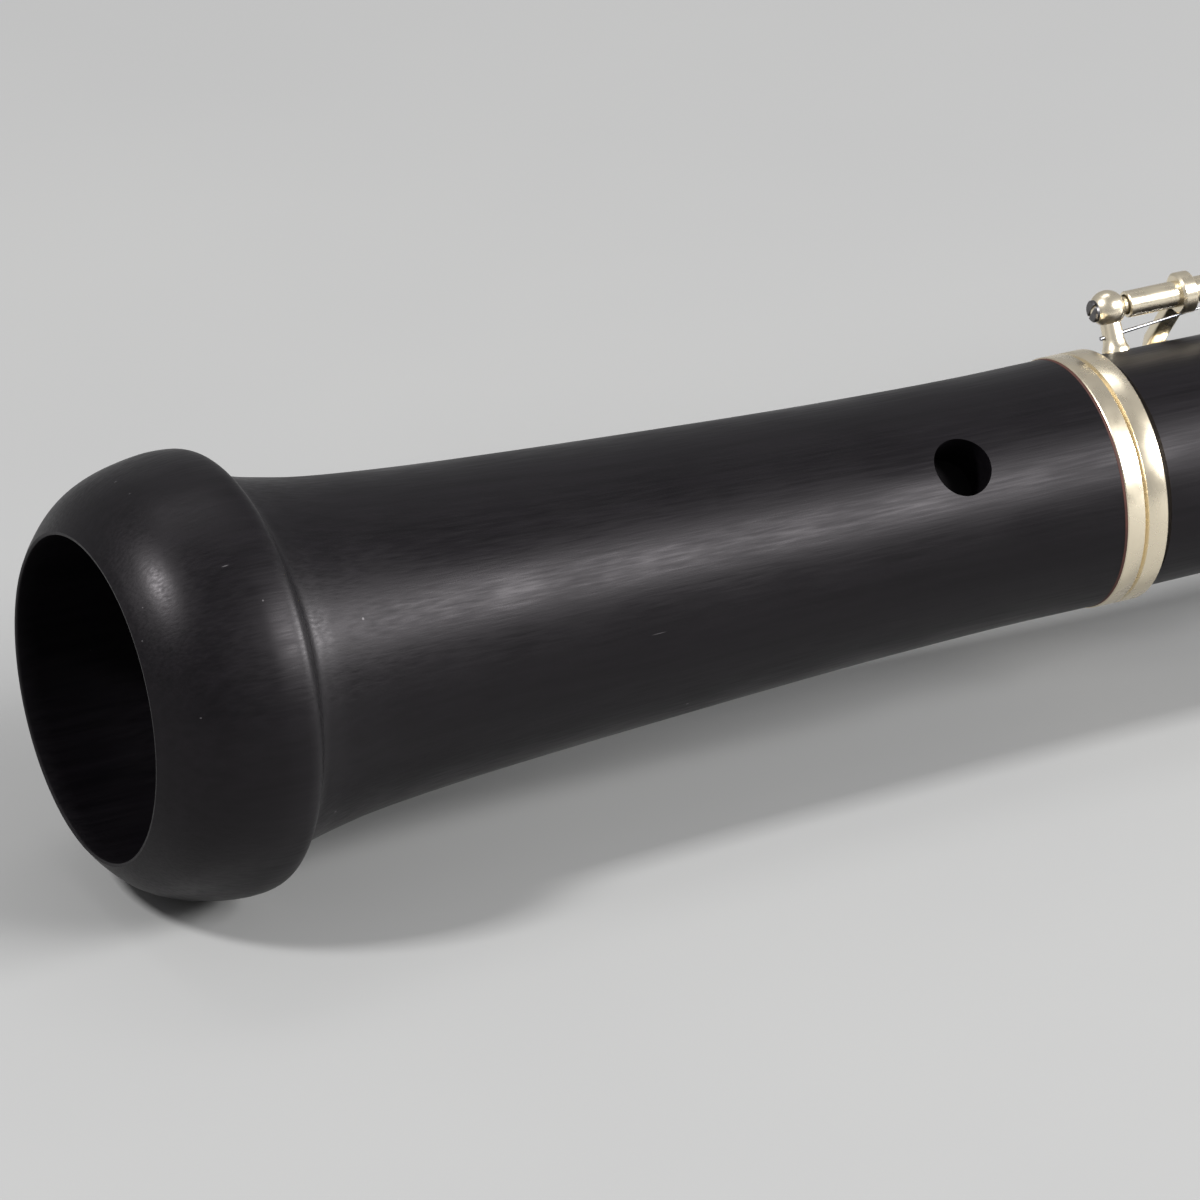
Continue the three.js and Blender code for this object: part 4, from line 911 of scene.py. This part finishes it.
# ---- Thumb rest --------------------------------------------------------------------------------
# A curved plate screwed to the back of the lower joint, with a hook that hangs on the right thumb.
rest_x = on_lower(0.7)
rest_radius = radius_at(LOWER_OUTSIDE, rest_x) + 0.75
curve = [(rest_x, *on_circle(rest_radius, angle)) for angle in range(157, 204, 3)]
plate = ribbon("rest_plate", curve, (20, 0, 0), 1.2, 0.3)
hook = block("hook", (1.8, 11, 8), (rest_x + 2, 0, -rest_radius - 3.6), 0.7)
head = [(0, 0), (0, 1.6), (0.9, 1.5), (1.1, 1.1), (1.15, 0)]
head = [(rest_radius + height, radius) for height, radius in head]
screws = [turned("screw", head, 40, outwards(rest_x + dx, 180)) for dx in (-6.5, 7)]
thumb_rest = put(joined("thumb_hook", [plate, hook, *screws]), BORE)
finished(thumb_rest, silver, "lower_joint", ["thumb_rest"])

# ---- Needle springs ----------------------------------------------------------------------------
# Steel needles press each key shut or open: each is driven through the neck of a post and
# rests against its key's tube.
needle_steel, tree, shader = new_material("needle_steel")  # hard drawn steel with a faint blue tint
heat = noise(tree, object_place(tree), 420.0, 3.0)
tree.links.new(two_tone(tree, heat, "#8f94a6", "#b9b8b6"), shader.inputs["Base Color"])
shader.inputs["Metallic"].default_value = 1.0
shader.inputs["Roughness"].default_value = 0.25


def needle(rod, x, length, way):
    """One spring from the neck of a post at a station, along the rod."""
    foot = radius_at(rod.outside, x)
    low = Vector((x - 1.9 * way, *on_circle(foot + 1.9, rod.angle)))
    high = Vector((x + length * way, *on_circle(rod.radius - 2.2, rod.angle)))
    line = high - low
    place = Matrix.Translation(low) @ Vector((1, 0, 0)).rotation_difference(line).to_matrix().to_4x4()
    wire = turned("needle", [(0, 0), (0, 0.28), (line.length, 0.12), (line.length, 0)], 16, place)
    finished(put(wire, BORE), needle_steel, rod.body)


NEEDLES = [
    (low_note_rod, 0, 16, 1), (low_note_rod, 2, 14, -1), (lever_rod, 1, 14, -1), (low_b_rod, 1, 14, -1),
    (right_hand_rod, 0, 9, 1), (right_hand_rod, 1, 9, -1), (left_hand_rod, 0, 9, 1),
    (left_hand_rod, 1, 9, -1), (half_hole_rod, 0, 9, 1), (g_sharp_rod, 1, 9, -1), (trill_rod, 0, 14, 1),
    (octave_rod, 1, 9, -1),
]
for rod, number, length, way in NEEDLES:
    needle(rod, rod.posts[number], length, way)

# ---- Reed --------------------------------------------------------------------------------------
# The double reed: a brass staple in a cork sleeve that plugs into the well, and two blades of
# scraped cane tied on with waxed red thread.
staple_start = WELL_FLOOR + 0.3
staple_top = staple_start + 46
cane_start = staple_top - 14
cane_tip = staple_top + 25

brass, tree, shader = new_material("staple_brass")  # drawn brass tube, lightly dulled
dull = noise(tree, object_place(tree), 260.0, 4.0)
tree.links.new(two_tone(tree, dull, "#b99549", "#dfc274"), shader.inputs["Base Color"])
tree.links.new(rescaled(tree, dull, 0.3, 0.7, 0.36, 0.22), shader.inputs["Roughness"])
shader.inputs["Metallic"].default_value = 1.0
staple = [
    (staple_start, 2.6), (cane_start - 1, 1.8), (staple_top, 1.6), (staple_top, 1.1),
    (staple_start, 2.1), (staple_start, 2.6),
]
finished(put(turned("staple", staple, 64), BORE), brass, "reed", ["reed_staple"])
sleeve = cork_band("sleeve", staple_start, 27, 2.9, 3.3)
finished(put(sleeve, BORE), cork, "reed", ["reed_cork"])

thread, tree, shader = new_material("waxed_thread")  # tight red winding with a waxy sheen
lay = noise(tree, object_place(tree), 1500.0, 4.0)
tree.links.new(two_tone(tree, lay, "#5a1319", "#962b32"), shader.inputs["Base Color"])
shader.inputs["Roughness"].default_value = 0.55
TURNS = 34
wind_start, wind_end = cane_start - 2, staple_top - 0.5
pitch = (wind_end - wind_start) / TURNS
winding = [(wind_start, 2.1)]
for i in range(TURNS):
    a = wind_start + (wind_end - wind_start) * i / TURNS
    top = 3.1 + 0.3 * min(1, (i + 1) / 5)
    winding += [(a, top - 0.12), (a + 0.25 * pitch, top), (a + 0.75 * pitch, top)]
winding += [
    (wind_end, 3.25), (wind_end, 3.0), (cane_start - 0.4, 3.0), (cane_start - 0.4, 2.1), (wind_start, 2.1),
]
finished(put(turned("thread", winding, 64), BORE), thread, "reed", ["reed_thread"], 60)

cane, tree, shader = new_material("scraped_cane")  # golden cane with fine streaks along the fibre
fibre = noise(tree, stretched(tree, object_place(tree), (120, 4000, 4000)), 1.0, 4.0)
tree.links.new(two_tone(tree, fibre, "#b98a3c", "#e6c987", 0.3, 0.7), shader.inputs["Base Color"])
shader.inputs["Roughness"].default_value = 0.5


def blade(name, side):
    """Half of a flattening tube of cane, thinned toward the tip."""
    sections = [
        (cane_start, 2.7, 2.7), (staple_top, 2.72, 2.6), (staple_top + 5, 2.85, 2.15),
        (staple_top + 10, 3.0, 1.75), (staple_top + 15, 3.15, 1.3), (staple_top + 20, 3.35, 0.85),
        (cane_tip, 3.5, 0.55),
    ]
    bpy.ops.object.select_all(action="DESELECT")
    bpy.ops.mesh.primitive_circle_add(vertices=64, radius=1, fill_type="NOTHING", location=(0, 0, 0))
    piece = bpy.context.object
    piece.name = name
    station, half_width, half_height = sections[0]
    oval = Matrix.Diagonal((1, half_width, half_height, 1)) @ Matrix.Rotation(radians(90), 4, "Y")
    put(piece, Matrix.Translation((station, 0, 0)) @ oval)
    bpy.ops.object.mode_set(mode="EDIT")
    bpy.ops.mesh.select_all(action="SELECT")
    for (x0, y0, z0), (x1, y1, z1) in zip(sections, sections[1:]):
        bpy.ops.mesh.extrude_region_move(TRANSFORM_OT_translate={"value": (x1 - x0, 0, 0)})
        bpy.ops.transform.resize(value=(1, y1 / y0, z1 / z0), center_override=(x1, 0, 0))
    bpy.ops.mesh.select_all(action="SELECT")
    bpy.ops.mesh.bisect(plane_co=(0, 0, 0.12 * side), plane_no=(0, 0, side), clear_inner=True)
    bpy.ops.mesh.select_all(action="SELECT")
    bpy.ops.mesh.normals_make_consistent(inside=False)
    bpy.ops.object.mode_set(mode="OBJECT")
    modify(piece, "SOLIDIFY", thickness=0.4, offset=0)
    return piece


for name, node, side in (("front_blade", "reed_blade_front", 1), ("back_blade", "reed_blade_back", -1)):
    finished(put(blade(name, side), BORE), cane, "reed", [node], 50)
